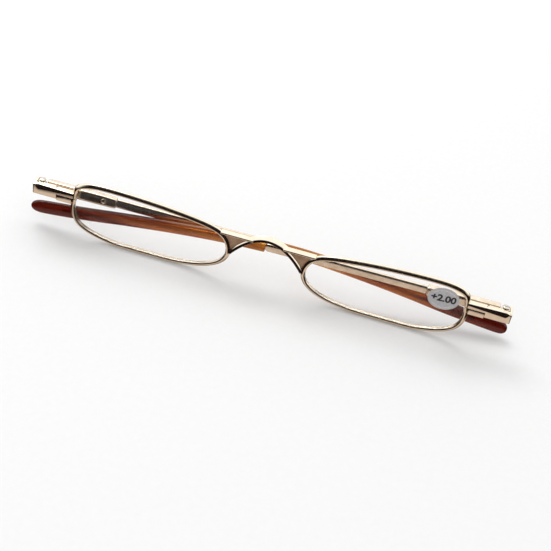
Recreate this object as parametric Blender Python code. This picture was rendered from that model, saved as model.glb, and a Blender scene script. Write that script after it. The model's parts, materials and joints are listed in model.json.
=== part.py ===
"""Folding reading glasses with sprung hinges, folded, standing on the lower edges of the rims.

Lengths here are millimetres, and add_object turns them into metres. X runs to the wearer's left,
Y backwards from the front and Z up, and the floor is Z = 0. Pieces are drawn with the middle of
the front in the plane Y = 0, and moved by FRONT_Y so that the folded glasses are centred on the
origin. SIDES gives each side's name and sign: +1 is the wearer's left.

A temple is drawn in its own terms: "along" is the distance from the hinge's axis towards the tip,
"out" is the distance from the axis towards the temple's outer face, and Z is the height above
the hinge's middle.
"""

import math

import bmesh
import bpy
from mathutils import Matrix, Vector

MM = 0.001
SIDES = {"left": 1, "right": -1}

# Overall
HALF_WIDTH = 68.0
FRONT_Y = -3.2
TEMPLE_LENGTH = 135.5
GAP = 0.05  # between pieces that touch

# Rim: the wire's middle line on the wearer's left, from the straight run it stands on, towards
# the nose, over the top and back. The straight run closes the loop.
RIM_WIDTH = 1.3
RIM_DEPTH = 1.5
RIM_FLAT = 0.7  # width of the band that the rim stands on
RIM_LINE = [
    (29.5, RIM_WIDTH / 2), (23.8, 1.0), (18.6, 2.0), (14.7, 3.6), (12.2, 5.6), (11.0, 7.8),
    (10.8, 9.8), (11.3, 12.1), (12.8, 14.3), (15.6, 15.8), (20.5, 16.9), (29.2, 17.95),
    (38.0, 18.55), (46.6, 18.75), (51.0, 18.4), (54.1, 17.4), (55.5, 15.9), (55.9, 13.3),
    (56.2, 10.2), (55.7, 6.9), (54.1, 4.4), (51.0, 2.6), (46.5, 1.3), (41.5, RIM_WIDTH / 2),
]
RIM_SAMPLES = 3  # points for each span of the line
RIM_CORNER, RIM_LIP = 0.3, 0.2
GROOVE_DEPTH = 0.35
GROOVE_HALF_WIDTH = 0.38
SPLIT_Z = 13.05
SPLIT_WIDTH = 0.3

# Lens: flat behind, bulging in front
LENS_CENTRE = (33.5, 9.7)
LENS_EDGE = 0.9
LENS_RADIUS = 400.0
BEVEL_CLEARANCE = 0.12
BEVEL_HALF_WIDTH = 0.35
LENS_SHOULDER = 0.3

# Strength label
LABEL_CENTRE = (49.3, 14.0)
LABEL_SIZE = (8.6, 7.2)
LABEL_THICKNESS = 0.12

# Bridge
CROWN_Z = 16.85
ARCH_DROP = 0.0668  # the arch's middle line is CROWN_Z - ARCH_DROP * x * x
ARCH_WIDTH = 1.5
BRIDGE_DEPTH = 1.6
BAR_TOP_Z = 15.8
BAR_WIDTH = 0.75
GUSSET_RECESS = 0.45
RECESS_START, RECESS_RISE = 1.6, 2.1  # past the arch's top, and above the bridge's foot
RECESS_MARGINS = (1.0, 0.4, 0.1)  # to the rim at the bar, halfway down and at the foot
BRIDGE_FOOT_Z = 9.4
ARCH_STEPS = 10

# End piece and rim lock
END_TOP, END_BOTTOM = 14.6, 11.45
END_FRONT, END_REAR = -0.8, 1.05
LEAF_START_X, LEAF_SEAT_Y = 61.6, 0.7
ELBOW_INNER_X, ELBOW_REAR = 67.4, 3.05
END_CORNER, END_EDGE, LOCK_EDGE = 1.0, 0.2, 0.15
SEAT_STEP = 0.4
LOCK_END_X, LOCK_BOTTOM = 61.0, 11.1
RIM_SCREW_X, RIM_SCREW_Y = 59.0, 0.1
RIM_SCREW_HEAD, RIM_SCREW_SHANK = 0.6, 0.38
RIM_SCREW_HEAD_HEIGHT, RIM_SCREW_CHAMFER = 0.46, 0.12
RIM_SCREW_SINK, RIM_SCREW_SEAT = 0.08, 0.6  # the head's and its seat's depth in the block
RIM_SCREW_END, RIM_THREAD_END = 0.6, 0.35  # below the end piece's top
SCREW_ROOM = 0.07
SLOT_HALF_WIDTH, SLOT_HALF_LENGTH, SLOT_DEPTH = 0.12, 1.2, 0.22

# Hinge
HINGE_X, HINGE_Y, HINGE_Z = 66.1, 1.95, 13.02
LEAF_THICKNESS, LEAF_REACH = 0.5, 0.6
BARREL_RADIUS = 1.15
TONGUE_HALF_HEIGHT = 0.58
TONGUE_ROOM = 0.12  # above and below the tongue's barrel
TONGUE_NOTCH = (1.6, 2.0)  # from the axis inwards and outwards
PIN_RADIUS, PIN_HOLE_RADIUS = 0.55, 0.62
PIN_HEAD_RADIUS, PIN_DOME_RADIUS = 0.95, 0.75
PIN_HEAD_HEIGHT, PIN_DOME_HEIGHT = 0.23, 0.4
# The right temple lies behind the left one, so it stands off from the front at an angle.
FOLD_ANGLE = {"left": math.radians(-0.25), "right": math.radians(1.9)}
# The hinges' play lets the folded temples droop, the right one more.
DROOP_ANGLE = {"left": math.radians(0.4), "right": math.radians(1.15)}

# Temple
BOX_START, BOX_END = 1.45, 21.5
BOX_INNER, BOX_OUTER = -0.45, 1.65
BOX_HEIGHT, BOX_END_HEIGHT = 3.3, 3.0
BOX_TAPER_START = 15.0
BOX_START_CHAMFER, BOX_END_CHAMFER = 0.4, 0.5
CHANNEL_MIDDLE = 0.6
CHANNEL_WIDTH, CHANNEL_HEIGHT, CHANNEL_END = 1.24, 1.34, 15.2
NECK_START, NECK_END, NECK_HALF_THICKNESS = 0.75, 5.5, 0.45
SHAFT_START, SHAFT_END, SHAFT_RADIUS = 5.2, 13.8, 0.3
SHAFT_HEAD_START, SHAFT_HEAD_END, SHAFT_HEAD_RADIUS = 13.55, 14.0, 0.52
BUSH_START, BUSH_END, BUSH_HOLE_RADIUS = 5.6, 6.6, 0.37
SPRING_START, SPRING_END, SPRING_TURNS = 6.8, 13.4, 9
SPRING_RADIUS, SPRING_WIRE_RADIUS = 0.46, 0.09
TANG_START = 16.0
BAR_MIDDLE = 0.65
BAR_THICKNESS, BAR_HEIGHT = 1.0, 2.6
TANG_THICKNESS, TANG_HEIGHT = 0.9, 1.7
CORE_THICKNESS, CORE_HEIGHT, CORE_END = 0.8, 1.4, 125.0
CORE_START = 67.0
RIVET_ALONG = 17.9
RIVET_HEAD = [(0.5, -0.62), (0.78, -0.5), (0.78, -0.2)]  # radius, outwards
RIVET_RADIUS, RIVET_END = 0.4, 1.4
RIVET_HEAD_HOLE, RIVET_HOLE, RIVET_SEAT = 0.85, 0.46, -0.15
TIP_START = 67.2
TIP_BORE_THICKNESS, TIP_BORE_HEIGHT, TIP_BORE_END = 1.1, 1.7, 126.0
TIP_MIDDLE = 0.5
TEMPLE_LINE = [  # along, height above the hinge
    (-20.0, 0.0), (0.0, 0.0), (60.0, 0.0), (76.0, -0.25), (90.0, -1.4), (106.0, -3.35),
    (120.0, -5.4), (135.5, -7.1), (150.0, -8.3),
]
TIP_SECTIONS = [  # along, height, thickness
    (TIP_START, 3.1, 2.0), (74.0, 3.4, 2.0), (86.0, 3.6, 2.0), (100.0, 3.8, 2.0),
    (114.0, 4.1, 2.0), (128.0, 4.2, 2.0),
]
TIP_ROUNDING = 5.0  # the blunt end's width is sqrt(1 - t ** TIP_ROUNDING) along the end


# Scene and materials


def clear_scene():
    for obj in list(bpy.data.objects):
        bpy.data.objects.remove(obj, do_unlink=True)


def material(name, colour, metallic, roughness, transmission=0.0):
    made = bpy.data.materials.get(name)
    if made:
        return made
    made = bpy.data.materials.new(name)
    made.use_nodes = True
    shader = made.node_tree.nodes["Principled BSDF"]
    shader.inputs["Base Color"].default_value = (*colour, 1.0)
    shader.inputs["Metallic"].default_value = metallic
    shader.inputs["Roughness"].default_value = roughness
    shader.inputs["Transmission Weight"].default_value = transmission
    return made


def gold(piece):
    return material(f"{piece}_gold", (0.78, 0.66, 0.5), 1.0, 0.2)


def steel(piece):
    return material(f"{piece}_steel", (0.6, 0.58, 0.55), 1.0, 0.3)


# Mesh helpers


def add_object(name, bm, paint, parent=None):
    bmesh.ops.remove_doubles(bm, verts=bm.verts, dist=1e-4)
    bmesh.ops.recalc_face_normals(bm, faces=bm.faces)
    if not parent:
        bmesh.ops.translate(bm, vec=(0.0, FRONT_Y, 0.0), verts=bm.verts)
    bmesh.ops.scale(bm, vec=(MM, MM, MM), verts=bm.verts)
    mesh = bpy.data.meshes.new(name)
    bm.to_mesh(mesh)
    bm.free()
    mesh.shade_smooth()
    mesh.set_sharp_from_angle(angle=math.radians(35))
    mesh.materials.append(paint)
    obj = bpy.data.objects.new(name, mesh)
    bpy.context.scene.collection.objects.link(obj)
    obj.parent = parent
    return obj


def add_helper(name, bm, parent=None):
    """A shape for a Boolean, which isn't part of the object."""
    obj = add_object(name, bm, material("helper", (0.8, 0.2, 0.2), 0.0, 0.5), parent)
    obj.hide_render = True
    obj.display_type = "WIRE"
    return obj


def combine(obj, helper, operation="DIFFERENCE"):
    modifier = obj.modifiers.new(helper.name, "BOOLEAN")
    modifier.operation = operation
    modifier.solver = "EXACT"
    modifier.object = helper


def round_edges(obj, width):
    modifier = obj.modifiers.new("rounded edges", "BEVEL")
    modifier.width = width * MM
    modifier.segments = 2
    modifier.limit_method = "ANGLE"
    modifier.angle_limit = math.radians(40)


def loft(bm, rings, loop=False, caps=True):
    """Joins rings of equally many points. A loop also joins the last ring to the first."""
    made = [[bm.verts.new(p) for p in ring] for ring in rings]
    pairs = list(zip(made, made[1:]))
    if loop:
        pairs.append((made[-1], made[0]))
    for first, second in pairs:
        for i in range(len(first)):
            j = (i + 1) % len(first)
            bm.faces.new((first[i], first[j], second[j], second[i]))
    if caps and not loop:
        bm.faces.new(made[0])
        bm.faces.new(made[-1])
    return made


def box(low, high):
    bm = bmesh.new()
    size = Vector(high) - Vector(low)
    middle = (Vector(high) + Vector(low)) / 2
    matrix = Matrix.Translation(middle) @ Matrix.Diagonal((*size, 1.0))
    bmesh.ops.create_cube(bm, size=1.0, matrix=matrix)
    return bm


def turned(profile, centre, segments=16):
    """A solid turned about a vertical axis, from (radius, z) pairs that start and end it."""
    bm = bmesh.new()
    turns = [2 * math.pi * i / segments for i in range(segments)]
    loft(
        bm,
        [
            [(centre[0] + r * math.cos(t), centre[1] + r * math.sin(t), z) for t in turns]
            for r, z in profile
        ],
    )
    return bm


def smooth_chain(points, samples):
    """A Catmull-Rom curve through all but the first and the last point, which only guide it."""
    chain = []
    for a, b, c, d in zip(points, points[1:], points[2:], points[3:]):
        a, b, c, d = (Vector(p) for p in (a, b, c, d))
        for i in range(samples):
            t = i / samples
            chain.append(
                0.5
                * (
                    2 * b
                    + (c - a) * t
                    + (2 * a - 5 * b + 4 * c - d) * t**2
                    + (3 * b - a - 3 * c + d) * t**3
                )
            )
    chain.append(Vector(points[-2]))
    return chain


def rounded_section(width, height, power=3.0, points=12):
    """Points of a superellipse, half way between a box and an ellipse."""
    ring = []
    for i in range(points):
        t = 2 * math.pi * (i + 0.5) / points
        c, s = math.cos(t), math.sin(t)
        ring.append(
            (
                0.5 * width * math.copysign(abs(c) ** (2 / power), c),
                0.5 * height * math.copysign(abs(s) ** (2 / power), s),
            )
        )
    return ring


# Shared shapes


def rim_line():
    """(point, outward direction) pairs along the middle of the wire, both in X and Z."""
    points = smooth_chain([RIM_LINE[-1], *RIM_LINE, RIM_LINE[0]], RIM_SAMPLES)
    frames = []
    for i, point in enumerate(points):
        before, after = points[i - 1], points[(i + 1) % len(points)]
        if i == 0:
            before = point + Vector((1.0, 0.0))
        if i == len(points) - 1:
            after = point - Vector((1.0, 0.0))
        tangent = (after - before).normalized()
        # The line runs clockwise as seen from the front, so outwards is on its left.
        frames.append((point, Vector((-tangent.y, tangent.x))))
    return frames


def rim_ring(offset, y, side=1):
    """The wire's middle line moved outwards by offset, in the plane at depth y."""
    return [
        (side * (p.x + offset * n.x), y, p.y + offset * n.y) for p, n in rim_line()
    ]


def lens_bulge(x, z):
    """How far the lens's front stands beyond the flat of its edge."""
    far = max((p - Vector(LENS_CENTRE)).length for p, _ in rim_line())
    here = (Vector((x, z)) - Vector(LENS_CENTRE)).length
    return (far**2 - here**2) / (2 * LENS_RADIUS)


def temple_height(along):
    """The height of a temple's middle line above its hinge."""
    for a, b, c, d in zip(TEMPLE_LINE, TEMPLE_LINE[1:], TEMPLE_LINE[2:], TEMPLE_LINE[3:]):
        if along <= c[0]:
            break
    slope_b = (c[1] - a[1]) / (c[0] - a[0])
    slope_c = (d[1] - b[1]) / (d[0] - b[0])
    span = c[0] - b[0]
    t = (along - b[0]) / span
    return (
        (2 * t**3 - 3 * t**2 + 1) * b[1]
        + (t**3 - 2 * t**2 + t) * span * slope_b
        + (3 * t**2 - 2 * t**3) * c[1]
        + (t**3 - t**2) * span * slope_c
    )


def temple_point(side, along, out, z):
    """A point in the frame of the side's hinge empty."""
    return (-side * along, out, z)


def temple_box(side, low, high):
    """A box between two corners given as (along, out, z)."""
    first, second = temple_point(side, *low), temple_point(side, *high)
    return box(
        [min(a, b) for a, b in zip(first, second)], [max(a, b) for a, b in zip(first, second)]
    )


def temple_rod(side, start, end, out, radius, segments=12):
    """A round rod along the temple at the hinge's height."""
    bm = bmesh.new()
    turns = [2 * math.pi * i / segments for i in range(segments)]
    loft(
        bm,
        [
            [
                temple_point(side, a, out + radius * math.cos(t), radius * math.sin(t))
                for t in turns
            ]
            for a in (start, end)
        ],
    )
    return bm


def cross_rod(side, along, stations, segments=14):
    """A round rod through the temple from face to face, from (radius, out) stations."""
    bm = bmesh.new()
    turns = [2 * math.pi * i / segments for i in range(segments)]
    loft(
        bm,
        [
            [
                temple_point(side, along + r * math.cos(t), out, r * math.sin(t))
                for t in turns
            ]
            for r, out in stations
        ],
    )
    return bm


# Front


def make_rim(name, side):
    half, depth = RIM_WIDTH / 2, RIM_DEPTH / 2
    corner = half - RIM_CORNER
    profile = [  # offset outwards, depth
        (half, -RIM_FLAT / 2), (half, RIM_FLAT / 2), (corner, depth), (-corner, depth),
        (-half, depth - RIM_LIP), (-half, GROOVE_HALF_WIDTH), (-half + GROOVE_DEPTH, 0.0),
        (-half, -GROOVE_HALF_WIDTH), (-half, -depth + RIM_LIP), (-corner, -depth), (corner, -depth),
    ]
    bm = bmesh.new()
    loft(bm, [rim_ring(offset, y, side) for offset, y in profile], loop=True)
    rim = add_object(f"{name}_rim", bm, gold("rim"))
    x = side * inner_end_x(SPLIT_Z)
    split = box(
        (x - 2, -2, SPLIT_Z - SPLIT_WIDTH / 2), (x + 2, 2, SPLIT_Z + SPLIT_WIDTH / 2)
    )
    combine(rim, add_helper(f"{name}_rim_split", split))


def make_lens(name, side):
    apex = -RIM_WIDTH / 2 + GROOVE_DEPTH - BEVEL_CLEARANCE
    shoulder = -RIM_WIDTH / 2 - LENS_SHOULDER
    half = LENS_EDGE / 2

    def front_ring(share):
        ring = []
        for x, _, z in rim_ring(shoulder, 0.0):
            x = LENS_CENTRE[0] + share * (x - LENS_CENTRE[0])
            z = LENS_CENTRE[1] + share * (z - LENS_CENTRE[1])
            ring.append((side * x, -half - lens_bulge(x, z), z))
        return ring

    bm = bmesh.new()
    loft(
        bm,
        [
            front_ring(0.3),
            front_ring(0.65),
            front_ring(1.0),
            rim_ring(apex - BEVEL_HALF_WIDTH, -BEVEL_HALF_WIDTH, side),
            rim_ring(apex, 0.0, side),
            rim_ring(apex - BEVEL_HALF_WIDTH, BEVEL_HALF_WIDTH, side),
            rim_ring(shoulder, half, side),
        ],
    )
    glass = material("lens_clear", (0.97, 0.98, 0.98), 0.0, 0.02, transmission=1.0)
    add_object(f"{name}_lens", bm, glass)


def make_label():
    rings = []
    turns = [2 * math.pi * i / 32 for i in range(32)]
    front = LENS_EDGE / 2 + GAP + LABEL_THICKNESS
    back = LENS_EDGE / 2 + GAP
    for share, lift in ((0.5, front), (1.0, front), (1.0, back), (0.5, back)):
        ring = []
        for t in turns:
            x = LABEL_CENTRE[0] + share * LABEL_SIZE[0] / 2 * math.cos(t)
            z = LABEL_CENTRE[1] + share * LABEL_SIZE[1] / 2 * math.sin(t)
            ring.append((x, -lift - lens_bulge(x, z), z))
        rings.append(ring)
    bm = bmesh.new()
    loft(bm, rings)
    paper = material("label_film", (0.42, 0.42, 0.44), 0.0, 0.4)
    add_object("strength_label", bm, paper)


def gusset_edge():
    """The rim's outer surface from the bridge's foot up to its bar, with a gap to it."""
    offset = RIM_WIDTH / 2 + GAP
    edge = [(x, z) for x, _, z in rim_ring(offset, 0.0) if x < 20 and z > BRIDGE_FOOT_Z]
    edge = [(x, z) for x, z in edge if z < BAR_TOP_Z - 0.1]
    return sorted(edge, key=lambda p: p[1])


def arch_edge(x, half_width):
    """A point of the arch's upper (positive half_width) or lower edge."""
    slope = -2 * ARCH_DROP * x
    length = math.hypot(1, slope)
    return (
        x - half_width * slope / length,
        CROWN_Z - ARCH_DROP * x * x + half_width / length,
    )


def make_bridge():
    edge = gusset_edge()
    foot_x = edge[0][0]
    lower = [
        arch_edge(foot_x * i / ARCH_STEPS, -ARCH_WIDTH / 2) for i in range(ARCH_STEPS + 1)
    ]
    lower = [p for p in lower if p[1] > BRIDGE_FOOT_Z]
    top_x = math.sqrt((CROWN_Z + ARCH_WIDTH / 2 - BAR_TOP_Z) / ARCH_DROP)
    upper = [arch_edge(top_x * i / 4, ARCH_WIDTH / 2) for i in range(4)]
    bar_end = (edge[-1][0] - 0.1, BAR_TOP_Z)
    half = [*upper, (top_x + 0.8, BAR_TOP_Z), bar_end, *reversed(edge), *reversed(lower[1:])]
    mirrored = [(-x, z) for x, z in reversed(half[1:])]
    outline = [*half, lower[0], *mirrored]
    bm = bmesh.new()
    loft(bm, [[(x, y, z) for x, z in outline] for y in (-BRIDGE_DEPTH / 2, BRIDGE_DEPTH / 2)])
    bridge = add_object("bridge", bm, gold("bridge"))
    for name, side in SIDES.items():
        top_margin, middle_margin, foot_margin = RECESS_MARGINS
        middle = edge[len(edge) // 2]
        corners = [
            (top_x + RECESS_START, BAR_TOP_Z - BAR_WIDTH),
            (edge[-1][0] - top_margin, BAR_TOP_Z - BAR_WIDTH),
            (middle[0] - middle_margin, middle[1]),
            (foot_x - foot_margin, edge[0][1] + RECESS_RISE),
        ]
        bm = bmesh.new()
        loft(
            bm,
            [
                [(side * x, y, z) for x, z in corners]
                for y in (-BRIDGE_DEPTH, -BRIDGE_DEPTH / 2 + GUSSET_RECESS)
            ],
        )
        combine(bridge, add_helper(f"{name}_gusset_recess", bm))


def inner_end_x(z):
    """The end of a piece that is soldered to the outer side of the rim, at height z."""
    ring = [(x, h) for x, _, h in rim_ring(RIM_WIDTH / 2 + GAP, 0.0) if x > 50]
    lean = 0.09  # of the rim's outer side towards the nose
    return max(x - lean * (z - h) for x, h in ring if abs(h - z) < 2.5)


def slant_inner_end(bm, side, x):
    for vert in bm.verts:
        if abs(vert.co.x - side * x) < 1e-4:
            vert.co.x = side * inner_end_x(vert.co.z)


def make_end_piece(name, side):
    inner = inner_end_x(END_BOTTOM)
    arc = [math.radians(90 * i / 4) for i in range(5)]
    plan = [
        (inner, END_FRONT),
        *[
            (
                HALF_WIDTH - END_CORNER + END_CORNER * math.sin(t),
                END_FRONT + END_CORNER - END_CORNER * math.cos(t),
            )
            for t in arc
        ],
        (HALF_WIDTH, ELBOW_REAR),
        (ELBOW_INNER_X, ELBOW_REAR),
        (ELBOW_INNER_X, LEAF_SEAT_Y),
        (LEAF_START_X - 2 * GAP, LEAF_SEAT_Y),
        (LEAF_START_X - 2 * GAP - SEAT_STEP, END_REAR),
        (inner, END_REAR),
    ]
    bm = bmesh.new()
    loft(bm, [[(side * x, y, z) for x, y in plan] for z in (END_BOTTOM, END_TOP)])
    slant_inner_end(bm, side, inner)
    piece = add_object(f"{name}_end_piece", bm, gold("end_piece"))
    round_edges(piece, END_EDGE)
    low_x, high_x = sorted((side * (inner - 2), side * (LOCK_END_X + GAP)))
    notch = box((low_x, END_FRONT - 2, END_BOTTOM - 1), (high_x, END_REAR + 2, SPLIT_Z + GAP))
    combine(piece, add_helper(f"{name}_lock_notch", notch))
    radius = RIM_SCREW_SHANK + GAP
    thread = turned(
        [(radius, SPLIT_Z - 1), (radius, END_TOP - RIM_THREAD_END)],
        (side * RIM_SCREW_X, RIM_SCREW_Y),
    )
    combine(piece, add_helper(f"{name}_rim_screw_thread", thread))


def make_closing_block(name, side):
    inner = inner_end_x(LOCK_BOTTOM)
    low_x, high_x = sorted((side * inner, side * LOCK_END_X))
    bm = box((low_x, END_FRONT, LOCK_BOTTOM), (high_x, END_REAR - GAP, SPLIT_Z - GAP))
    slant_inner_end(bm, side, inner)
    block = add_object(f"{name}_closing_block", bm, gold("closing_block"))
    round_edges(block, LOCK_EDGE)
    centre = (side * RIM_SCREW_X, RIM_SCREW_Y)
    wide, narrow = RIM_SCREW_HEAD + SCREW_ROOM, RIM_SCREW_SHANK + SCREW_ROOM
    seat = LOCK_BOTTOM + RIM_SCREW_SEAT
    hole = turned(
        [(wide, LOCK_BOTTOM - 1), (wide, seat), (narrow, seat), (narrow, SPLIT_Z + 1)], centre
    )
    combine(block, add_helper(f"{name}_rim_screw_hole", hole))


def add_slot(obj, centre, low, high):
    """A screwdriver slot across a screw's head."""
    x, y = centre
    slot = box(
        (x - SLOT_HALF_WIDTH, y - SLOT_HALF_LENGTH, low),
        (x + SLOT_HALF_WIDTH, y + SLOT_HALF_LENGTH, high),
    )
    combine(obj, add_helper(f"{obj.name}_slot", slot))


def make_rim_screw(name, side):
    centre = (side * RIM_SCREW_X, RIM_SCREW_Y)
    head, shank, chamfer = RIM_SCREW_HEAD, RIM_SCREW_SHANK, RIM_SCREW_CHAMFER
    low = LOCK_BOTTOM + RIM_SCREW_SINK
    high = low + RIM_SCREW_HEAD_HEIGHT
    profile = [
        (head - chamfer, low), (head, low + chamfer), (head, high), (shank, high),
        (shank, END_TOP - RIM_SCREW_END),
    ]
    screw = add_object(f"{name}_rim_screw", turned(profile, centre), steel("rim_screw"))
    add_slot(screw, centre, low - 1, low + SLOT_DEPTH)


def make_hinge_leaf(name, side):
    centre = (side * HINGE_X, HINGE_Y)
    low, high = END_BOTTOM + GAP, END_TOP - GAP
    low_x, high_x = sorted((side * LEAF_START_X, side * (HINGE_X + LEAF_REACH)))
    plate = box((low_x, LEAF_SEAT_Y + GAP, low), (high_x, LEAF_SEAT_Y + LEAF_THICKNESS, high))
    leaf = add_object(f"{name}_hinge_leaf", plate, gold("hinge_leaf"))
    barrel = turned([(BARREL_RADIUS, low), (BARREL_RADIUS, high)], centre, 24)
    combine(leaf, add_helper(f"{name}_leaf_barrel", barrel), "UNION")
    room = TONGUE_HALF_HEIGHT + TONGUE_ROOM
    inwards, outwards = TONGUE_NOTCH
    cut_x = sorted((side * (HINGE_X - inwards), side * (HINGE_X + outwards)))
    notch = box(
        (cut_x[0], HINGE_Y - 3, HINGE_Z - room), (cut_x[1], HINGE_Y + 3, HINGE_Z + room)
    )
    combine(leaf, add_helper(f"{name}_tongue_notch", notch))
    hole = turned([(PIN_HOLE_RADIUS, END_BOTTOM - 1), (PIN_HOLE_RADIUS, END_TOP + 1)], centre)
    combine(leaf, add_helper(f"{name}_leaf_hole", hole))


def make_hinge_screw(name, side):
    centre = (side * HINGE_X, HINGE_Y)
    top = END_TOP + GAP
    profile = [
        (PIN_RADIUS, END_BOTTOM + 2 * GAP), (PIN_RADIUS, top), (PIN_HEAD_RADIUS, top),
        (PIN_HEAD_RADIUS, top + PIN_HEAD_HEIGHT), (PIN_DOME_RADIUS, top + PIN_DOME_HEIGHT),
    ]
    screw = add_object(f"{name}_hinge_screw", turned(profile, centre), steel("hinge_screw"))
    add_slot(screw, centre, top + PIN_DOME_HEIGHT - SLOT_DEPTH, top + 1)


# Temples


def make_hinge_tongue(name, side, hinge):
    centre = (0.0, 0.0)
    half = TONGUE_HALF_HEIGHT
    radius = BARREL_RADIUS - GAP
    barrel = turned([(radius, -half), (radius, half)], centre, 24)
    tongue = add_object(f"{name}_hinge_tongue", barrel, steel("hinge_tongue"), hinge)
    neck = temple_box(
        side,
        (NECK_START, CHANNEL_MIDDLE - NECK_HALF_THICKNESS, -half),
        (NECK_END, CHANNEL_MIDDLE + NECK_HALF_THICKNESS, half),
    )
    combine(tongue, add_helper(f"{name}_tongue_neck", neck, hinge), "UNION")
    shaft = temple_rod(side, SHAFT_START, SHAFT_END, CHANNEL_MIDDLE, SHAFT_RADIUS)
    combine(tongue, add_helper(f"{name}_tongue_shaft", shaft, hinge), "UNION")
    head = temple_rod(
        side, SHAFT_HEAD_START, SHAFT_HEAD_END, CHANNEL_MIDDLE, SHAFT_HEAD_RADIUS
    )
    combine(tongue, add_helper(f"{name}_tongue_head", head, hinge), "UNION")
    hole = turned([(PIN_HOLE_RADIUS, -2), (PIN_HOLE_RADIUS, 2)], centre)
    combine(tongue, add_helper(f"{name}_tongue_hole", hole, hinge))


def make_stop_bush(name, side, hinge):
    half_width, half_height = CHANNEL_WIDTH / 2 - GAP, CHANNEL_HEIGHT / 2 - GAP
    bm = temple_box(
        side,
        (BUSH_START, CHANNEL_MIDDLE - half_width, -half_height),
        (BUSH_END, CHANNEL_MIDDLE + half_width, half_height),
    )
    bush = add_object(f"{name}_stop_bush", bm, steel("stop_bush"), hinge)
    hole = temple_rod(side, BUSH_START - 1, BUSH_END + 1, CHANNEL_MIDDLE, BUSH_HOLE_RADIUS)
    combine(bush, add_helper(f"{name}_bush_hole", hole, hinge))


def make_hinge_spring(name, side, hinge):
    per_turn, around = 9, 5
    steps = SPRING_TURNS * per_turn
    rings = []
    for i in range(steps + 1):
        t = 2 * math.pi * i / per_turn
        along = SPRING_START + (SPRING_END - SPRING_START) * i / steps
        ring = []
        for k in range(around):
            w = 2 * math.pi * k / around
            r = SPRING_RADIUS + SPRING_WIRE_RADIUS * math.cos(w)
            ring.append(
                temple_point(
                    side,
                    along + SPRING_WIRE_RADIUS * math.sin(w),
                    CHANNEL_MIDDLE + r * math.cos(t),
                    r * math.sin(t),
                )
            )
        rings.append(ring)
    bm = bmesh.new()
    loft(bm, rings)
    add_object(f"{name}_hinge_spring", bm, steel("hinge_spring"), hinge)


def make_spring_box(name, side, hinge):
    middle = (BOX_INNER + BOX_OUTER) / 2
    stations = [
        (BOX_START, BOX_HEIGHT - BOX_START_CHAMFER),
        (BOX_START + BOX_START_CHAMFER, BOX_HEIGHT),
        (BOX_TAPER_START, BOX_HEIGHT),
        (BOX_END - 2 * BOX_END_CHAMFER, BOX_END_HEIGHT),
        (BOX_END, BOX_END_HEIGHT - BOX_END_CHAMFER),
    ]
    rings = []
    for along, height in stations:
        section = rounded_section(BOX_OUTER - BOX_INNER, height, 4.5)
        rings.append([temple_point(side, along, middle + o, z) for o, z in section])
    bm = bmesh.new()
    loft(bm, rings)
    spring_box = add_object(f"{name}_spring_box", bm, gold("spring_box"), hinge)
    half_width, half_height = CHANNEL_WIDTH / 2, CHANNEL_HEIGHT / 2
    channel = temple_box(
        side,
        (0.0, CHANNEL_MIDDLE - half_width, -half_height),
        (CHANNEL_END, CHANNEL_MIDDLE + half_width, half_height),
    )
    combine(spring_box, add_helper(f"{name}_channel", channel, hinge))
    half = TANG_THICKNESS / 2 + GAP
    slot = temple_box(
        side,
        (TANG_START - GAP, BAR_MIDDLE - half, -TANG_HEIGHT / 2 - GAP),
        (BOX_END + 1, BAR_MIDDLE + half, TANG_HEIGHT / 2 + GAP),
    )
    combine(spring_box, add_helper(f"{name}_tang_slot", slot, hinge))
    hole = cross_rod(
        side,
        RIVET_ALONG,
        [
            (RIVET_HEAD_HOLE, BOX_INNER - 1), (RIVET_HEAD_HOLE, RIVET_SEAT),
            (RIVET_HOLE, RIVET_SEAT), (RIVET_HOLE, RIVET_END + 2 * GAP),
        ],
    )
    combine(spring_box, add_helper(f"{name}_box_rivet_hole", hole, hinge))


def make_rivet(name, side, hinge):
    shank = [(RIVET_RADIUS, RIVET_HEAD[-1][1]), (RIVET_RADIUS, RIVET_END)]
    bm = cross_rod(side, RIVET_ALONG, RIVET_HEAD + shank)
    add_object(f"{name}_temple_rivet", bm, gold("temple_rivet"), hinge)


def make_temple_bar(name, side, hinge):
    sections = [
        (TANG_START, TANG_THICKNESS, TANG_HEIGHT),
        (BOX_END + 2 * GAP, TANG_THICKNESS, TANG_HEIGHT),
        (BOX_END + 3 * GAP, BAR_THICKNESS, BAR_HEIGHT),
    ]
    steps = 6
    for i in range(1, steps + 1):
        along = BOX_END + (CORE_START - 0.4 - BOX_END) * i / steps
        sections.append((along, BAR_THICKNESS, BAR_HEIGHT))
    steps = 8
    for i in range(steps + 1):
        along = CORE_START + (CORE_END - CORE_START) * i / steps
        sections.append((along, CORE_THICKNESS, CORE_HEIGHT))
    rings = []
    for along, thickness, height in sections:
        section = rounded_section(thickness, height, 5.0, 8)
        z = temple_height(along)
        rings.append([temple_point(side, along, BAR_MIDDLE + o, z + h) for o, h in section])
    bm = bmesh.new()
    loft(bm, rings)
    bar = add_object(f"{name}_temple_bar", bm, gold("temple_bar"), hinge)
    hole = cross_rod(side, RIVET_ALONG, [(RIVET_HOLE, -1.0), (RIVET_HOLE, 2.5)])
    combine(bar, add_helper(f"{name}_bar_rivet_hole", hole, hinge))


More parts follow.
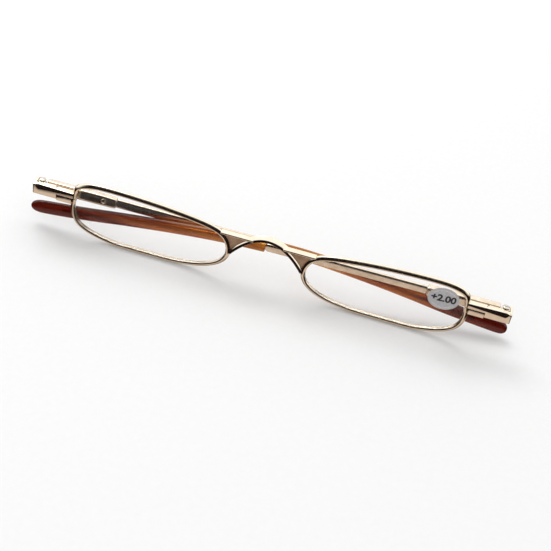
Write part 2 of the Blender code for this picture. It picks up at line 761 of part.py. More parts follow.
def make_temple_tip(name, side, hinge):
    def ring(along, thickness, height, middle):
        section = rounded_section(thickness, height, 2.8)
        z = temple_height(along)
        return [temple_point(side, along, middle + o, z + h) for o, h in section]

    outer = [ring(a, thickness, height, TIP_MIDDLE) for a, height, thickness in TIP_SECTIONS]
    start, height, thickness = TIP_SECTIONS[-1]
    steps = 6
    for i in range(1, steps + 1):
        t = math.sin(math.radians(75 * i / steps))
        share = math.sqrt(1 - t**TIP_ROUNDING)
        along = start + (TEMPLE_LENGTH - start) * t / math.sin(math.radians(75))
        outer.append(ring(along, thickness * share, height * share, TIP_MIDDLE))
    steps = 8
    bore = []
    for i in range(steps + 1):
        along = TIP_BORE_END + (TIP_START - TIP_BORE_END) * i / steps
        bore.append(ring(along, TIP_BORE_THICKNESS, TIP_BORE_HEIGHT, BAR_MIDDLE))
    bm = bmesh.new()
    made_outer = loft(bm, outer, caps=False)
    made_bore = loft(bm, bore, caps=False)
    bm.faces.new(made_outer[-1])
    bm.faces.new(made_bore[0])
    for i in range(len(made_bore[-1])):
        j = (i + 1) % len(made_bore[-1])
        bm.faces.new((made_bore[-1][i], made_bore[-1][j], made_outer[0][j], made_outer[0][i]))
    amber = material("tip_amber", (0.35, 0.08, 0.02), 0.0, 0.15, transmission=0.6)
    add_object(f"{name}_temple_tip", bm, amber, hinge)


def make_hinge_empty(name, side):
    hinge = bpy.data.objects.new(f"{name}_hinge_axis", None)
    bpy.context.scene.collection.objects.link(hinge)
    hinge.location = (side * HINGE_X * MM, (HINGE_Y + FRONT_Y) * MM, HINGE_Z * MM)
    hinge.rotation_euler = (0.0, -side * DROOP_ANGLE[name], -side * FOLD_ANGLE[name])
    return hinge


def main():
    clear_scene()
    make_bridge()
    make_label()
    for name, side in SIDES.items():
        make_rim(name, side)
        make_lens(name, side)
        make_end_piece(name, side)
        make_closing_block(name, side)
        make_rim_screw(name, side)
        make_hinge_leaf(name, side)
        make_hinge_screw(name, side)
        hinge = make_hinge_empty(name, side)
        make_hinge_tongue(name, side, hinge)
        make_stop_bush(name, side, hinge)
        make_hinge_spring(name, side, hinge)
        make_spring_box(name, side, hinge)
        make_rivet(name, side, hinge)
        make_temple_bar(name, side, hinge)
        make_temple_tip(name, side, hinge)


main()
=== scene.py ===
"""The looks of folding reading glasses, built around the glasses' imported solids.

Shapes are drawn in millimetres, and add_piece turns them into metres. X runs to the wearer's
left, Y backwards from the front and Z up. Front pieces are drawn with the front's middle in the
plane Y = 0 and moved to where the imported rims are. A temple's pieces are drawn as (along, out,
up): along runs from the hinge's axis to the tip, and out towards the temple's outer face.
"""

import json
import math

import bmesh
import bpy
from mathutils import Matrix, Vector


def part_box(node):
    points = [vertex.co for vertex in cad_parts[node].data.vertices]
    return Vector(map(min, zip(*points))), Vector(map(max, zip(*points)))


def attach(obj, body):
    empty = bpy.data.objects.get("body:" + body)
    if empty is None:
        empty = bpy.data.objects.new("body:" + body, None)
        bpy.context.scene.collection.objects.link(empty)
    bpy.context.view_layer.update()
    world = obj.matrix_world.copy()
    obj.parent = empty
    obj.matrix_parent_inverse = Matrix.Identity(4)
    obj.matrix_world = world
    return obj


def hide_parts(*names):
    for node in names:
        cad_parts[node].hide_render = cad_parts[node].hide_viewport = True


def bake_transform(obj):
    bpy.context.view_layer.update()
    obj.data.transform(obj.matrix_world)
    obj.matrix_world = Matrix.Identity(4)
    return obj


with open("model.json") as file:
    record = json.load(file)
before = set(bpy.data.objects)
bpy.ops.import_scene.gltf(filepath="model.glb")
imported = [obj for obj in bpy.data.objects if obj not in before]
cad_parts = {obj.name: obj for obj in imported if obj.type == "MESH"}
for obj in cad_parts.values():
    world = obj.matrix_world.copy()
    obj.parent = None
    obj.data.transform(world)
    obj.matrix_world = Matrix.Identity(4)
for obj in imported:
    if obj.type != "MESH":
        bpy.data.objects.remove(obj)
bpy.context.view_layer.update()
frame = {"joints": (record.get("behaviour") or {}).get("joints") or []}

MM = 0.001
SIDES = {"left": 1, "right": -1}
FRONT_Y = sum(corner[1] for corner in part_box("left_rim")) / 2 / MM
BEYOND = 2.0  # how far cutters reach past what they cut

# Camera and floor
AIM = (0.0035, -0.0032, 0.0054)  # metres, as are the distance and the floor's sizes
AZIMUTH, ELEVATION, ROLL = 6.76, 39.84, 11.23  # degrees
DISTANCE = 0.3051
FOCAL_LENGTH, SENSOR_WIDTH = 71.87, 36.0
FLOOR_SIZE, FLOOR_DROP = 4.0, 0.00005

# Room and light
TAN, DARK, WHITE = (0.72, 0.6, 0.52), (0.011, 0.006, 0.006), (1.3, 1.28, 1.25)
LOW_BROWN, HIGH_BROWN = (0.3, 0.25, 0.2), (0.42, 0.36, 0.3)
ROOM_GREY = (0.88, 0.88, 0.88, 1.0)
SIDE_LIFT, SIDE_TURN = 0.3, 1.2  # how the dark side's foot and its ends bend away at the sides
SOFTBOX_PLACE, SOFTBOX_SIZE, SOFTBOX_POWER = (-0.4, 0.4, 0.7), (0.5, 0.4), 2.5  # metres, watts

# Rim
RIM_WIDTH = 1.3
RIM_LINE = [
    (29.5, RIM_WIDTH / 2), (23.8, 1.0), (18.6, 2.0), (14.7, 3.6), (12.2, 5.6), (11.0, 7.8),
    (10.8, 9.8), (11.3, 12.1), (12.8, 14.3), (15.6, 15.8), (20.5, 16.9), (29.2, 17.95),
    (38.0, 18.55), (46.6, 18.75), (51.0, 18.4), (54.1, 17.4), (55.5, 15.9), (55.9, 13.3),
    (56.2, 10.2), (55.7, 6.9), (54.1, 4.4), (51.0, 2.6), (46.5, 1.3), (41.5, RIM_WIDTH / 2),
]
RIM_SAMPLES = 9
RIM_SECTION = [  # outwards, depth: the front's outer edge is cut back to a wide bevel
    (0.65, -0.15), (0.65, 0.5), (0.4, 0.75), (-0.45, 0.75), (-0.65, 0.42), (-0.65, 0.36),
    (-0.3, 0.0), (-0.65, -0.36), (-0.65, -0.5), (-0.35, -0.75), (-0.02, -0.75),
]
RIM_ROUNDING = 0.08
RIM_REACH = 0.4  # heights this close count as one where a piece joins the rim
SPLIT_Z, SPLIT_WIDTH, SPLIT_REACH = 13.05, 0.24, 1.9

# Lens and label
LENS_CENTRE = (33.5, 9.7)
LENS_EDGE, LENS_RADIUS = 0.9, 400.0  # the edge's thickness and the front's curve
LENS_RIDGE, LENS_SHOULDER = -0.42, -0.9  # outwards from the wire's middle line
LENS_BEVEL = 0.35
LENS_FRONT_SHARES = (0.04, 0.15, 0.3, 0.5, 0.7, 0.85, 0.95, 1.0)
LENS_REAR_SHARES = (1.0, 0.85, 0.5, 0.15, 0.04)
LABEL_CENTRE, LABEL_SIZE = (49.3, 14.0), (8.6, 7.2)
LABEL_THICKNESS, LABEL_GAP = 0.12, 0.05
LABEL_PROFILE = [  # share of the size, depth behind the front
    (0.05, 0.0), (0.5, 0.0), (0.97, 0.0), (1.0, 0.03), (1.0, LABEL_THICKNESS),
    (0.05, LABEL_THICKNESS),
]
PRINT = "+2.00"
PRINT_SIZE, PRINT_WEIGHT, PRINT_DEPTH, PRINT_RISE = 3.0, 0.1, 0.02, 0.1
DASHES, DASH_SPREAD = 17, 56  # in each row, and the degrees that it runs to either side
DASH_RING, DASH_HEIGHT, DASH_DEPTH = 0.8, 0.34, 0.015
DASH_WIDTHS = (0.2, 0.3, 0.4)

# Bridge
CROWN_Z, ARCH_DROP = 16.85, 0.0668
ARCH_SECTION = [  # upwards across the arch, depth
    (0.75, 0.35), (0.75, 0.7), (0.65, 0.8), (-0.65, 0.8), (-0.75, 0.7), (-0.75, -0.8),
    (0.0, -0.65),
]
ARCH_ROUNDING, ARCH_STEPS = 0.12, 48
ARCH_END_X, ARCH_TOP = 10.55, 0.7
BAR_TOP_Z, BAR_WIDTH = 15.8, 0.75
BAR_LOW_Z = BAR_TOP_Z - BAR_WIDTH
BRIDGE_BAR_SECTION = [  # z, depth
    (BAR_LOW_Z, -0.7), (BAR_LOW_Z, 0.75), (BAR_TOP_Z - 0.1, 0.8), (BAR_TOP_Z, 0.7),
    (BAR_TOP_Z, -0.35), (BAR_TOP_Z - 0.3, -0.78), (BAR_LOW_Z + 0.1, -0.8),
]
BRIDGE_BAR_ROUNDING = 0.1
BAR_ARCH_OVERLAP, BAR_RIM_OVERLAP = 0.9, 0.3
GUSSET_FRONT, GUSSET_REAR, GUSSET_ROUNDING = -0.35, 0.75, 0.05
GUSSET_RIM = 0.72  # outwards from the wire's middle line
GUSSET_LOW_Z, GUSSET_HIGH_Z = 9.6, 15.65
GUSSET_CORNER = (-0.5, -0.25)  # from where the arch meets the bar's top
GUSSET_END_X, GUSSET_UP = 10.2, 0.3  # its edge on the arch

# End piece and rim lock
END_TOP, END_BOTTOM = 14.6, 11.45
END_FRONT, END_REAR = -0.8, 1.05
END_CORNER = 0.4
HALF_WIDTH = 68.0
ELBOW_REAR, ELBOW_THINNING = 3.05, 0.3
STRIP_TOP_THICKNESS, STRIP_BOTTOM_THICKNESS, STRIP_ROUNDING = 0.95, 0.7, 0.15
STRIP_STEPS, CORNER_STEPS, ELBOW_STEPS = 30, 12, 6
STRIP_SINK, LUG_SINK, LOCK_SINK = 0.35, 0.2, 0.25  # into the rim's wire
BEVEL_HEIGHTS = (0.5, 1.35)  # of the bevel along the strip's upper front, by the rim and outside
BEVEL_SLOPE = 0.42
BEVEL_END_X, BEVEL_FADE, BEVEL_LEAST = 67.4, 0.8, 0.15
INNER_FRONT = END_FRONT + 0.65  # of the blocks behind the strip
INNER_TOP, INNER_BOTTOM = END_TOP - 0.02, END_BOTTOM + 0.02
BLOCK_CORNER, INNER_ROUNDING, LOCK_ROUNDING = 0.2, 0.08, 0.04
LOCK_END_X, LOCK_BOTTOM, LOCK_TOP = 61.0, 11.1, SPLIT_Z - 0.02
LOCK_GAP, LUG_GAP = 0.04, 0.05
LUG_END_X, SHOULDER_END_X, SEAT_START_X, SEAT_END_X = 61.2, 61.3, 61.0, 67.5
LOCK_JOIN_Z = 11.6
RIM_SCREW_X, RIM_SCREW_Y, RIM_SCREW_LOW = 59.0, 0.1, LOCK_BOTTOM + 0.08
RIM_SCREW_PROFILE = [  # radius, height
    (0.4, 0.0), (0.52, 0.03), (0.6, 0.12), (0.6, 0.46), (0.38, 0.46), (0.38, 2.82),
]
RIM_SCREW_SLOT = (-0.2, 0.22)
RIM_SCREW_SEAT, RIM_SCREW_ROOM, RIM_THREAD_ROOM = LOCK_BOTTOM + 0.6, 0.67, 0.45

# Hinge
LEAF_START_X, LEAF_END_X, LEAF_SEAT_Y = 61.6, 66.7, 0.7
LEAF_FRONT, LEAF_REAR = LEAF_SEAT_Y + 0.05, LEAF_SEAT_Y + 0.5
LEAF_BOTTOM, LEAF_TOP = END_BOTTOM + 0.05, END_TOP - 0.05
LEAF_CORNER, LEAF_ROUNDING = 0.1, 0.08
BARREL_RADIUS, BARREL_CHAMFER = 1.15, 0.1
NOTCH_INNER, NOTCH_OUTER, NOTCH_REACH = 1.6, 2.0, 3.0
TONGUE_HALF_HEIGHT, TONGUE_ROOM = 0.58, 0.12
TONGUE_RADIUS, TONGUE_CHAMFER = 1.1, 0.08
PIN_HOLE_RADIUS, PIN_RADIUS = 0.62, 0.55
PIN_SEAT = END_TOP + 0.02
PIN_PROFILE = [  # radius, height above the head's seat
    (PIN_RADIUS, -3.07), (PIN_RADIUS, 0.0), (0.9, 0.0), (0.95, 0.06), (0.95, 0.2), (0.9, 0.3),
    (0.78, 0.38), (0.6, 0.42),
]
PIN_SLOT = (0.2, 0.7)
SLOT_WIDTH, SLOT_REACH = 0.22, 1.2

# Temple: spring box
BOX_START, BOX_END = 1.45, 21.5
BOX_INNER, BOX_OUTER = -0.45, 1.65
BOX_HEIGHT, BOX_END_HEIGHT = 3.3, 3.0
BOX_TAPER = [(8.0, BOX_HEIGHT), (15.0, BOX_HEIGHT), (18.5, 3.2)]  # along, height
BOX_START_ROUNDING, BOX_END_ROUNDING = (0.35, 0.7), (0.6, 0.75)  # along, off the section
ROUNDING_STEPS = 5
BOX_SECTION = (5.0, 44)  # the section's power and its number of points, as for bar and tip
CHANNEL_MIDDLE, CHANNEL_WIDTH, CHANNEL_HEIGHT, CHANNEL_END = 0.6, 1.24, 1.34, 15.2
NECK_START, NECK_END, NECK_HALF_THICKNESS = 0.75, 5.5, 0.45
SHAFT_START, SHAFT_END, SHAFT_RADIUS = 5.2, 13.8, 0.3
HEAD_START, HEAD_END, HEAD_RADIUS = 13.55, 14.0, 0.52
BUSH_START, BUSH_END, BUSH_ROOM, BUSH_BORE = 5.6, 6.6, 0.05, 0.37
SPRING_START, SPRING_END, SPRING_TURNS, TURN_STEPS = 6.8, 13.4, 9, 20
COIL_RADIUS, WIRE_RADIUS, WIRE_STEPS = 0.46, 0.09, 8
RIVET_ALONG, RIVET_RADIUS = 17.9, 0.44
RIVET_SEAT = [(0.85, -1.0), (0.85, -0.15), (RIVET_RADIUS, -0.15), (RIVET_RADIUS, 1.5)]
RIVET_PROFILE = [  # radius, out
    (0.12, -0.68), (0.35, -0.655), (0.55, -0.6), (0.7, -0.52), (0.78, -0.42), (0.78, -0.2),
    (0.4, -0.2), (0.4, 1.4),
]

# Temple: bar
SOCKET_START, TANG_START = 16.0, 16.05
TANG_THICKNESS, TANG_HEIGHT, TANG_ROOM = 0.9, 1.7, 0.04
TANG_END, BAR_START, BAR_FULL_FROM, BAR_STEPS_FROM = 21.6, 21.62, 21.7, 24.0
BAR_FULL_TO, BAR_END, BAR_STEPS = 66.4, 66.9, 24
BAR_MIDDLE, BAR_THICKNESS, BAR_HEIGHT = 0.65, 1.0, 2.6
BAR_START_SIZE, BAR_END_SIZE = (0.8, 2.3), (0.85, 2.1)
BAR_SECTION = (4.5, 28)
CORE_THICKNESS, CORE_HEIGHT, CORE_END, CORE_STEPS = 0.8, 1.4, 125.0, 40
TEMPLE_LINE = [  # along, height above the hinge
    (-20.0, 0.0), (0.0, 0.0), (60.0, 0.0), (76.0, -0.25), (90.0, -1.4), (106.0, -3.35),
    (120.0, -5.4), (135.5, -7.1), (150.0, -8.3),
]

# Temple: tip
TIP_START, TIP_END, TIP_MIDDLE, TIP_THICKNESS = 67.2, 135.5, 0.5, 2.0
TIP_HEIGHTS = [(TIP_START, 3.1), (74.0, 3.4), (86.0, 3.6), (100.0, 3.8), (114.0, 4.1), (128.0, 4.2)]
TIP_LIP = [(0.0, 0.25, 0.3), (0.12, 0.05, 0.05)]  # along, off the thickness, off the height
TIP_FULL_FROM, TIP_STEPS, TIP_SECTION = TIP_START + 0.3, 44, (2.7, 32)
TIP_END_POWER = {"left": 5.0, "right": 8.0}  # the higher, the blunter the end
TIP_END_STEPS, TIP_END_LEAST, TIP_END_THINNING = 20, 0.05, 0.8
TIP_BORE_THICKNESS, TIP_BORE_HEIGHT, TIP_BORE_END, TIP_BORE_STEPS = 0.9, 1.5, 126.0, 40
TIP_DARK_X = 0.069  # metres from the middle, where the tip's colour is darkest
LEAN = {"left": 0.0, "right": 8.0}  # degrees by which the sections' tops lean out
UPRIGHT_FROM = 100.0


# Materials


def new_material(name):
    made = bpy.data.materials.new(name)
    made.use_nodes = True
    return made, made.node_tree.nodes, made.node_tree.links


def surface_noise(nodes, links, scale, detail, stretch=(1.0, 1.0, 1.0)):
    """Noise fixed to the object, with features about 1 / scale metres wide."""
    place = nodes.new("ShaderNodeTexCoord")
    mapping = nodes.new("ShaderNodeMapping")
    mapping.inputs["Scale"].default_value = stretch
    noise = nodes.new("ShaderNodeTexNoise")
    noise.inputs["Scale"].default_value = scale
    noise.inputs["Detail"].default_value = detail
    links.new(place.outputs["Object"], mapping.inputs["Vector"])
    links.new(mapping.outputs["Vector"], noise.inputs["Vector"])
    return noise.outputs["Fac"]


def spread(nodes, links, value, low, high, start=0.35, end=0.65):
    """Maps the range from start to end, which is where noise mostly is, to low to high."""
    node = nodes.new("ShaderNodeMapRange")
    node.inputs["From Min"].default_value = start
    node.inputs["From Max"].default_value = end
    node.inputs["To Min"].default_value = low
    node.inputs["To Max"].default_value = high
    links.new(value, node.inputs["Value"])
    return node.outputs["Result"]


def ramp(nodes, links, value, stops):
    """A colour ramp from (position, colour) pairs."""
    node = nodes.new("ShaderNodeValToRGB")
    elements = node.color_ramp.elements
    while len(elements) < len(stops):
        elements.new(0.5)
    for element, (position, colour) in zip(elements, stops):
        element.position = position
        element.color = (*colour, 1.0)
    links.new(value, node.inputs["Fac"])
    return node.outputs["Color"]


def feed(links, socket, value):
    """Sets a socket to a number or colour, or joins it to another node's output."""
    if isinstance(value, bpy.types.NodeSocket):
        links.new(value, socket)
    else:
        socket.default_value = value


def calculated(nodes, links, operation, *values):
    node = nodes.new("ShaderNodeMath")
    node.operation = operation
    for socket, value in zip(node.inputs, values):
        feed(links, socket, value)
    return node.outputs["Value"]


def mixed(nodes, links, share, first, second):
    """A mix of two colours, the second one by share."""
    node = nodes.new("ShaderNodeMix")
    node.data_type = "RGBA"
    sockets = {socket.name: socket for socket in node.inputs if socket.enabled}
    for name, value in (("Factor", share), ("A", first), ("B", second)):
        feed(links, sockets[name], value)
    return next(socket for socket in node.outputs if socket.enabled)


def add_bump(nodes, links, shader, height, strength, distance):
    bump = nodes.new("ShaderNodeBump")
    bump.inputs["Strength"].default_value = strength
    bump.inputs["Distance"].default_value = distance
    links.new(height, bump.inputs["Height"])
    links.new(bump.outputs["Normal"], shader.inputs["Normal"])


def metal(name, light, dark, smooth, rough, stretch):
    """Plated metal: cloudy tint, uneven polish and fine scratches along the piece."""
    made, nodes, links = new_material(name)
    shader = nodes["Principled BSDF"]
    shader.inputs["Metallic"].default_value = 1.0
    cloud = surface_noise(nodes, links, 420.0, 3.0)
    tint = ramp(nodes, links, cloud, [(0.38, dark), (0.62, light)])
    links.new(tint, shader.inputs["Base Color"])
    polish = surface_noise(nodes, links, 1600.0, 4.0, stretch)
    links.new(spread(nodes, links, polish, smooth, rough), shader.inputs["Roughness"])
    scratches = surface_noise(nodes, links, 5200.0, 2.0, stretch)
    add_bump(nodes, links, shader, scratches, 0.09, 0.00002)
    return made


def lens_material():
    """Clear and almost uncovered face on, with more of a surface where it is seen edge on."""
    made, nodes, links = new_material("lens_clear")
    shader = nodes["Principled BSDF"]
    shader.inputs["Base Color"].default_value = (0.985, 0.99, 0.99, 1.0)
    shader.inputs["Transmission Weight"].default_value = 1.0
    shader.inputs["IOR"].default_value = 1.49
    edge = nodes.new("ShaderNodeLayerWeight")
    edge.inputs["Blend"].default_value = 0.5
    cover = spread(nodes, links, edge.outputs["Facing"], 0.015, 0.6, 0.3, 0.9)
    links.new(cover, shader.inputs["Alpha"])
    smudges = surface_noise(nodes, links, 180.0, 5.0)
    links.new(spread(nodes, links, smudges, 0.0, 0.02), shader.inputs["Roughness"])
    return made


def tip_material(name, side):
    """Translucent plastic, amber by the metal and dark red-brown towards the end; the bright golden
    amber by the metal is partly a painted highlight.
    """
    made, nodes, links = new_material(name)
    shader = nodes["Principled BSDF"]
    shader.inputs["Transmission Weight"].default_value = 0.6
    shader.inputs["IOR"].default_value = 1.48
    shader.inputs["Specular IOR Level"].default_value = 0.15
    place = nodes.new("ShaderNodeTexCoord")
    split = nodes.new("ShaderNodeSeparateXYZ")
    links.new(place.outputs["Object"], split.inputs["Vector"])
    along = spread(nodes, links, split.outputs["X"], 0.0, 1.0, 0.0, -side * TIP_DARK_X)
    streaks = surface_noise(nodes, links, 520.0, 3.0, (0.07, 0.8, 1.0))
    drift = spread(nodes, links, streaks, -0.16, 0.34)
    total = calculated(nodes, links, "ADD", along, drift)
    # The first stops, bright golden amber, paint the highlight on the sleeve near the metal; the
    # red-brown stops further on are the sleeve's own colour.
    stops = [
        (0.0, (0.95, 0.56, 0.12)),
        (0.12, (0.8, 0.36, 0.06)),
        (0.3, (0.55, 0.17, 0.03)),
        (0.6, (0.34, 0.075, 0.016)),
        (0.8, (0.15, 0.015, 0.006)),
        (1.0, (0.1, 0.008, 0.004)),
    ]
    links.new(ramp(nodes, links, total, stops), shader.inputs["Base Color"])
    polish = surface_noise(nodes, links, 900.0, 3.0, (0.3, 1.0, 1.0))
    links.new(spread(nodes, links, polish, 0.05, 0.13), shader.inputs["Roughness"])
    ripple = surface_noise(nodes, links, 700.0, 2.0, (0.25, 1.0, 1.0))
    add_bump(nodes, links, shader, ripple, 0.1, 0.0001)
    return made


def film_material():
    made, nodes, links = new_material("label_film")
    shader = nodes["Principled BSDF"]
    mottle = surface_noise(nodes, links, 2600.0, 4.0)
    stops = [(0.35, (0.36, 0.35, 0.36)), (0.65, (0.46, 0.445, 0.45))]
    links.new(ramp(nodes, links, mottle, stops), shader.inputs["Base Color"])
    links.new(spread(nodes, links, mottle, 0.35, 0.55), shader.inputs["Roughness"])
    return made


def ink_material(name, light, dark):
    made, nodes, links = new_material(name)
    shader = nodes["Principled BSDF"]
    wear = surface_noise(nodes, links, 3500.0, 3.0)
    links.new(ramp(nodes, links, wear, [(0.4, dark), (0.7, light)]), shader.inputs["Base Color"])
    shader.inputs["Roughness"].default_value = 0.5
    return made


# Mesh helpers


def add_piece(name, bm, paint, body, *nodes, sharp=32.0):
    """A visible piece in mesh code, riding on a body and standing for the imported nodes."""
    bmesh.ops.remove_doubles(bm, verts=bm.verts, dist=1e-5)
    bmesh.ops.recalc_face_normals(bm, faces=bm.faces)
    bmesh.ops.scale(bm, vec=(MM, MM, MM), verts=bm.verts)
    mesh = bpy.data.meshes.new(name)
    bm.to_mesh(mesh)
    bm.free()
    mesh.materials.append(paint)
    obj = bpy.data.objects.new(name, mesh)
    bpy.context.scene.collection.objects.link(obj)
    finish_shading(mesh, sharp)
    if body:
        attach(obj, body)
        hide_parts(*nodes)
    return obj


def finish_shading(mesh, sharp):
    mesh.shade_smooth()
    mesh.set_sharp_from_angle(angle=math.radians(sharp))


def bake_cuts(obj, cuts, sharp=32.0):
    """Applies (bmesh, operation) pairs to obj one after another."""
    for bm, operation in cuts:
        cutter = add_piece(f"{obj.name}_cutter", bm, obj.data.materials[0], None)
        modifier = obj.modifiers.new("cut", "BOOLEAN")
        modifier.operation = operation
        modifier.solver = "EXACT"
        modifier.object = cutter
        graph = bpy.context.evaluated_depsgraph_get()
        mesh = bpy.data.meshes.new_from_object(obj.evaluated_get(graph))
        obj.modifiers.clear()
        obj.data = mesh
        bpy.data.objects.remove(cutter, do_unlink=True)
    finish_shading(obj.data, sharp)


def loft(bm, rings, loop=False, caps=True):
    """Joins closed rings of equally many points. A loop also joins the last to the first."""
    made = [[bm.verts.new(p) for p in ring] for ring in rings]
    pairs = list(zip(made, made[1:]))
    if loop:
        pairs.append((made[-1], made[0]))
    for first, second in pairs:
        for i in range(len(first)):
            j = (i + 1) % len(first)
            bm.faces.new((first[i], first[j], second[j], second[i]))
    if caps and not loop:
        bm.faces.new(made[0])
        bm.faces.new(made[-1])
    return made


def lofted(rings, **options):
    bm = bmesh.new()
    loft(bm, rings, **options)
    return bm


def block(low, high):
    bm = bmesh.new()
    size = Vector(high) - Vector(low)
    matrix = Matrix.Translation((Vector(high) + Vector(low)) / 2) @ Matrix.Diagonal((*size, 1.0))
    bmesh.ops.create_cube(bm, size=1.0, matrix=matrix)
    return bm


def full_turn(count):
    return [2 * math.pi * i / count for i in range(count)]


def quarter_turn(steps):
    return [math.pi / 2 * i / steps for i in range(steps + 1)]


def turned(profile, centre, segments=40):
    """A solid turned about a vertical axis, from (radius, z) pairs."""
    x, y = centre
    return lofted([[(x + r * math.cos(t), y + r * math.sin(t), z) for t in full_turn(segments)]
                   for r, z in profile])


def filleted(corners, radius, steps=4):
    """A closed outline with each corner rounded off over radius along both its sides."""
    outline = []
    for i, corner in enumerate(corners):
        here = Vector(corner)
        before, after = Vector(corners[i - 1]), Vector(corners[(i + 1) % len(corners)])
        first = here + (before - here).normalized() * min(radius, (before - here).length / 2.01)
        last = here + (after - here).normalized() * min(radius, (after - here).length / 2.01)
        for k in range(steps + 1):
            t = k / steps
            outline.append(tuple(first * (1 - t) ** 2 + here * 2 * t * (1 - t) + last * t**2))
    return outline


def inset(outline, amount):
    """The closed outline moved inwards. It must run anticlockwise."""
    moved = []
    for i, point in enumerate(outline):
        here = Vector(point)
        before = (here - Vector(outline[i - 1])).normalized()
        after = (Vector(outline[(i + 1) % len(outline)]) - here).normalized()
        normal = Vector((-before.y - after.y, before.x + after.x))
        normal.normalize()
        share = max(0.5, normal.dot(Vector((-before.y, before.x))))
        moved.append(tuple(here + normal * amount / share))
    return moved


def is_anticlockwise(outline):
    area = sum(a[0] * b[1] - b[0] * a[1] for a, b in zip(outline, outline[1:] + outline[:1]))
    return area > 0


def cushioned(outline, low, high, radius, place, steps=4):
    """A solid between two levels, its outline's edges rounded at both. place makes the points."""
    if not is_anticlockwise(outline):
        outline = outline[::-1]
    levels = [(low + radius * (1 - math.cos(t)), radius * (1 - math.sin(t)))
              for t in quarter_turn(steps)]
    levels += [(low + high - level, amount) for level, amount in reversed(levels)]
    return lofted([[place(a, b, level) for a, b in inset(outline, amount)]
                   for level, amount in levels])


def smooth_chain(points, samples):
    """A Catmull-Rom curve through all but the first and the last point, which only guide it."""
    chain = []
    for a, b, c, d in zip(points, points[1:], points[2:], points[3:]):
        a, b, c, d = (Vector(p) for p in (a, b, c, d))
        for i in range(samples):
            t = i / samples
            curved = (2 * a - 5 * b + 4 * c - d) * t**2 + (3 * b - a - 3 * c + d) * t**3
            chain.append(0.5 * (2 * b + (c - a) * t + curved))
    chain.append(Vector(points[-2]))
    return chain


# Front


def front(x, y, z):
    """A place on the front, from one drawn with the front's middle in the plane Y = 0."""
    return (x, y + FRONT_Y, z)


def rim_line():
    """(point, outward normal) pairs along the wire's middle line, in X and Z."""
    points = smooth_chain([RIM_LINE[-1], *RIM_LINE, RIM_LINE[0]], RIM_SAMPLES)
    flat = Vector((1.0, 0.0))  # the line starts and ends on the flat that the rim stands on
    frames = []
    for i, point in enumerate(points):
        before = points[i - 1] if i > 0 else point + flat
        after = points[i + 1] if i + 1 < len(points) else point - flat
        tangent = (after - before).normalized()
        frames.append((point, Vector((-tangent.y, tangent.x))))
    return frames


RIM_FRAMES = rim_line()
LENS_REACH = max((p - Vector(LENS_CENTRE)).length for p, _ in RIM_FRAMES)


def rim_ring(offset, y, side, share=1.0):
    """The wire's middle line moved outwards, and shrunk towards the lens's centre by share."""
    ring = []
    for p, n in RIM_FRAMES:
        x = LENS_CENTRE[0] + share * (p.x + offset * n.x - LENS_CENTRE[0])
        z = LENS_CENTRE[1] + share * (p.y + offset * n.y - LENS_CENTRE[1])
        ring.append((side * x, y, z))
    return ring


def lens_bulge(x, z):
    """How far the lens's front stands out here, past its edge."""
    here = (Vector((x, z)) - Vector(LENS_CENTRE)).length
    return (LENS_REACH**2 - here**2) / (2 * LENS_RADIUS)


def outer_rim_x(z):
    """Where the rim's outer side is at about this height."""
    half = RIM_WIDTH / 2
    return max(p.x + half * n.x for p, n in RIM_FRAMES if abs(p.y + half * n.y - z) < RIM_REACH)


def make_rim(name, side, paint):
    section = filleted(RIM_SECTION, RIM_ROUNDING, 3)
    rings = [[front(*p) for p in rim_ring(offset, y, side)] for offset, y in section]
    rim = add_piece(f"{name}_rim_wire", lofted(rings, loop=True), paint, "front", f"{name}_rim")
    x, half = side * outer_rim_x(SPLIT_Z), SPLIT_WIDTH / 2
    low = front(x - SPLIT_REACH, -BEYOND, SPLIT_Z - half)
    high = front(x + SPLIT_REACH, BEYOND, SPLIT_Z + half)
    bake_cuts(rim, [(block(low, high), "DIFFERENCE")])


def make_lens(name, side, paint):
    half = LENS_EDGE / 2
    rings = []
    for share in LENS_FRONT_SHARES:
        ring = rim_ring(LENS_SHOULDER, 0.0, side, share)
        rings.append([(x, -half - lens_bulge(side * x, z), z) for x, _, z in ring])
    rings.append(rim_ring(LENS_RIDGE - LENS_BEVEL, -LENS_BEVEL, side))
    rings.append(rim_ring(LENS_RIDGE, 0.0, side))
    rings.append(rim_ring(LENS_RIDGE - LENS_BEVEL, LENS_BEVEL, side))
    rings += [rim_ring(LENS_SHOULDER, half, side, share) for share in LENS_REAR_SHARES]
    rings = [[front(*p) for p in ring] for ring in rings]
    add_piece(f"{name}_lens_glass", lofted(rings), paint, "front", f"{name}_lens", sharp=20)


def label_front(x, z, lift=0.0):
    """Where the label's front is, or a place that far in front of it."""
    return -LENS_EDGE / 2 - LABEL_GAP - LABEL_THICKNESS - lift - lens_bulge(x, z)


def label_place(share, angle):
    """(x, z) on the label's oval outline, shrunk by share."""
    x = LABEL_CENTRE[0] + share * LABEL_SIZE[0] / 2 * math.cos(angle)
    z = LABEL_CENTRE[1] + share * LABEL_SIZE[1] / 2 * math.sin(angle)
    return x, z


def make_label_sheet(paint):
    rings = []
    for share, drop in LABEL_PROFILE:
        places = [label_place(share, angle) for angle in full_turn(72)]
        rings.append([front(x, label_front(x, z, -drop), z) for x, z in places])
    add_piece("label_sheet", lofted(rings), paint, "front", "strength_label")


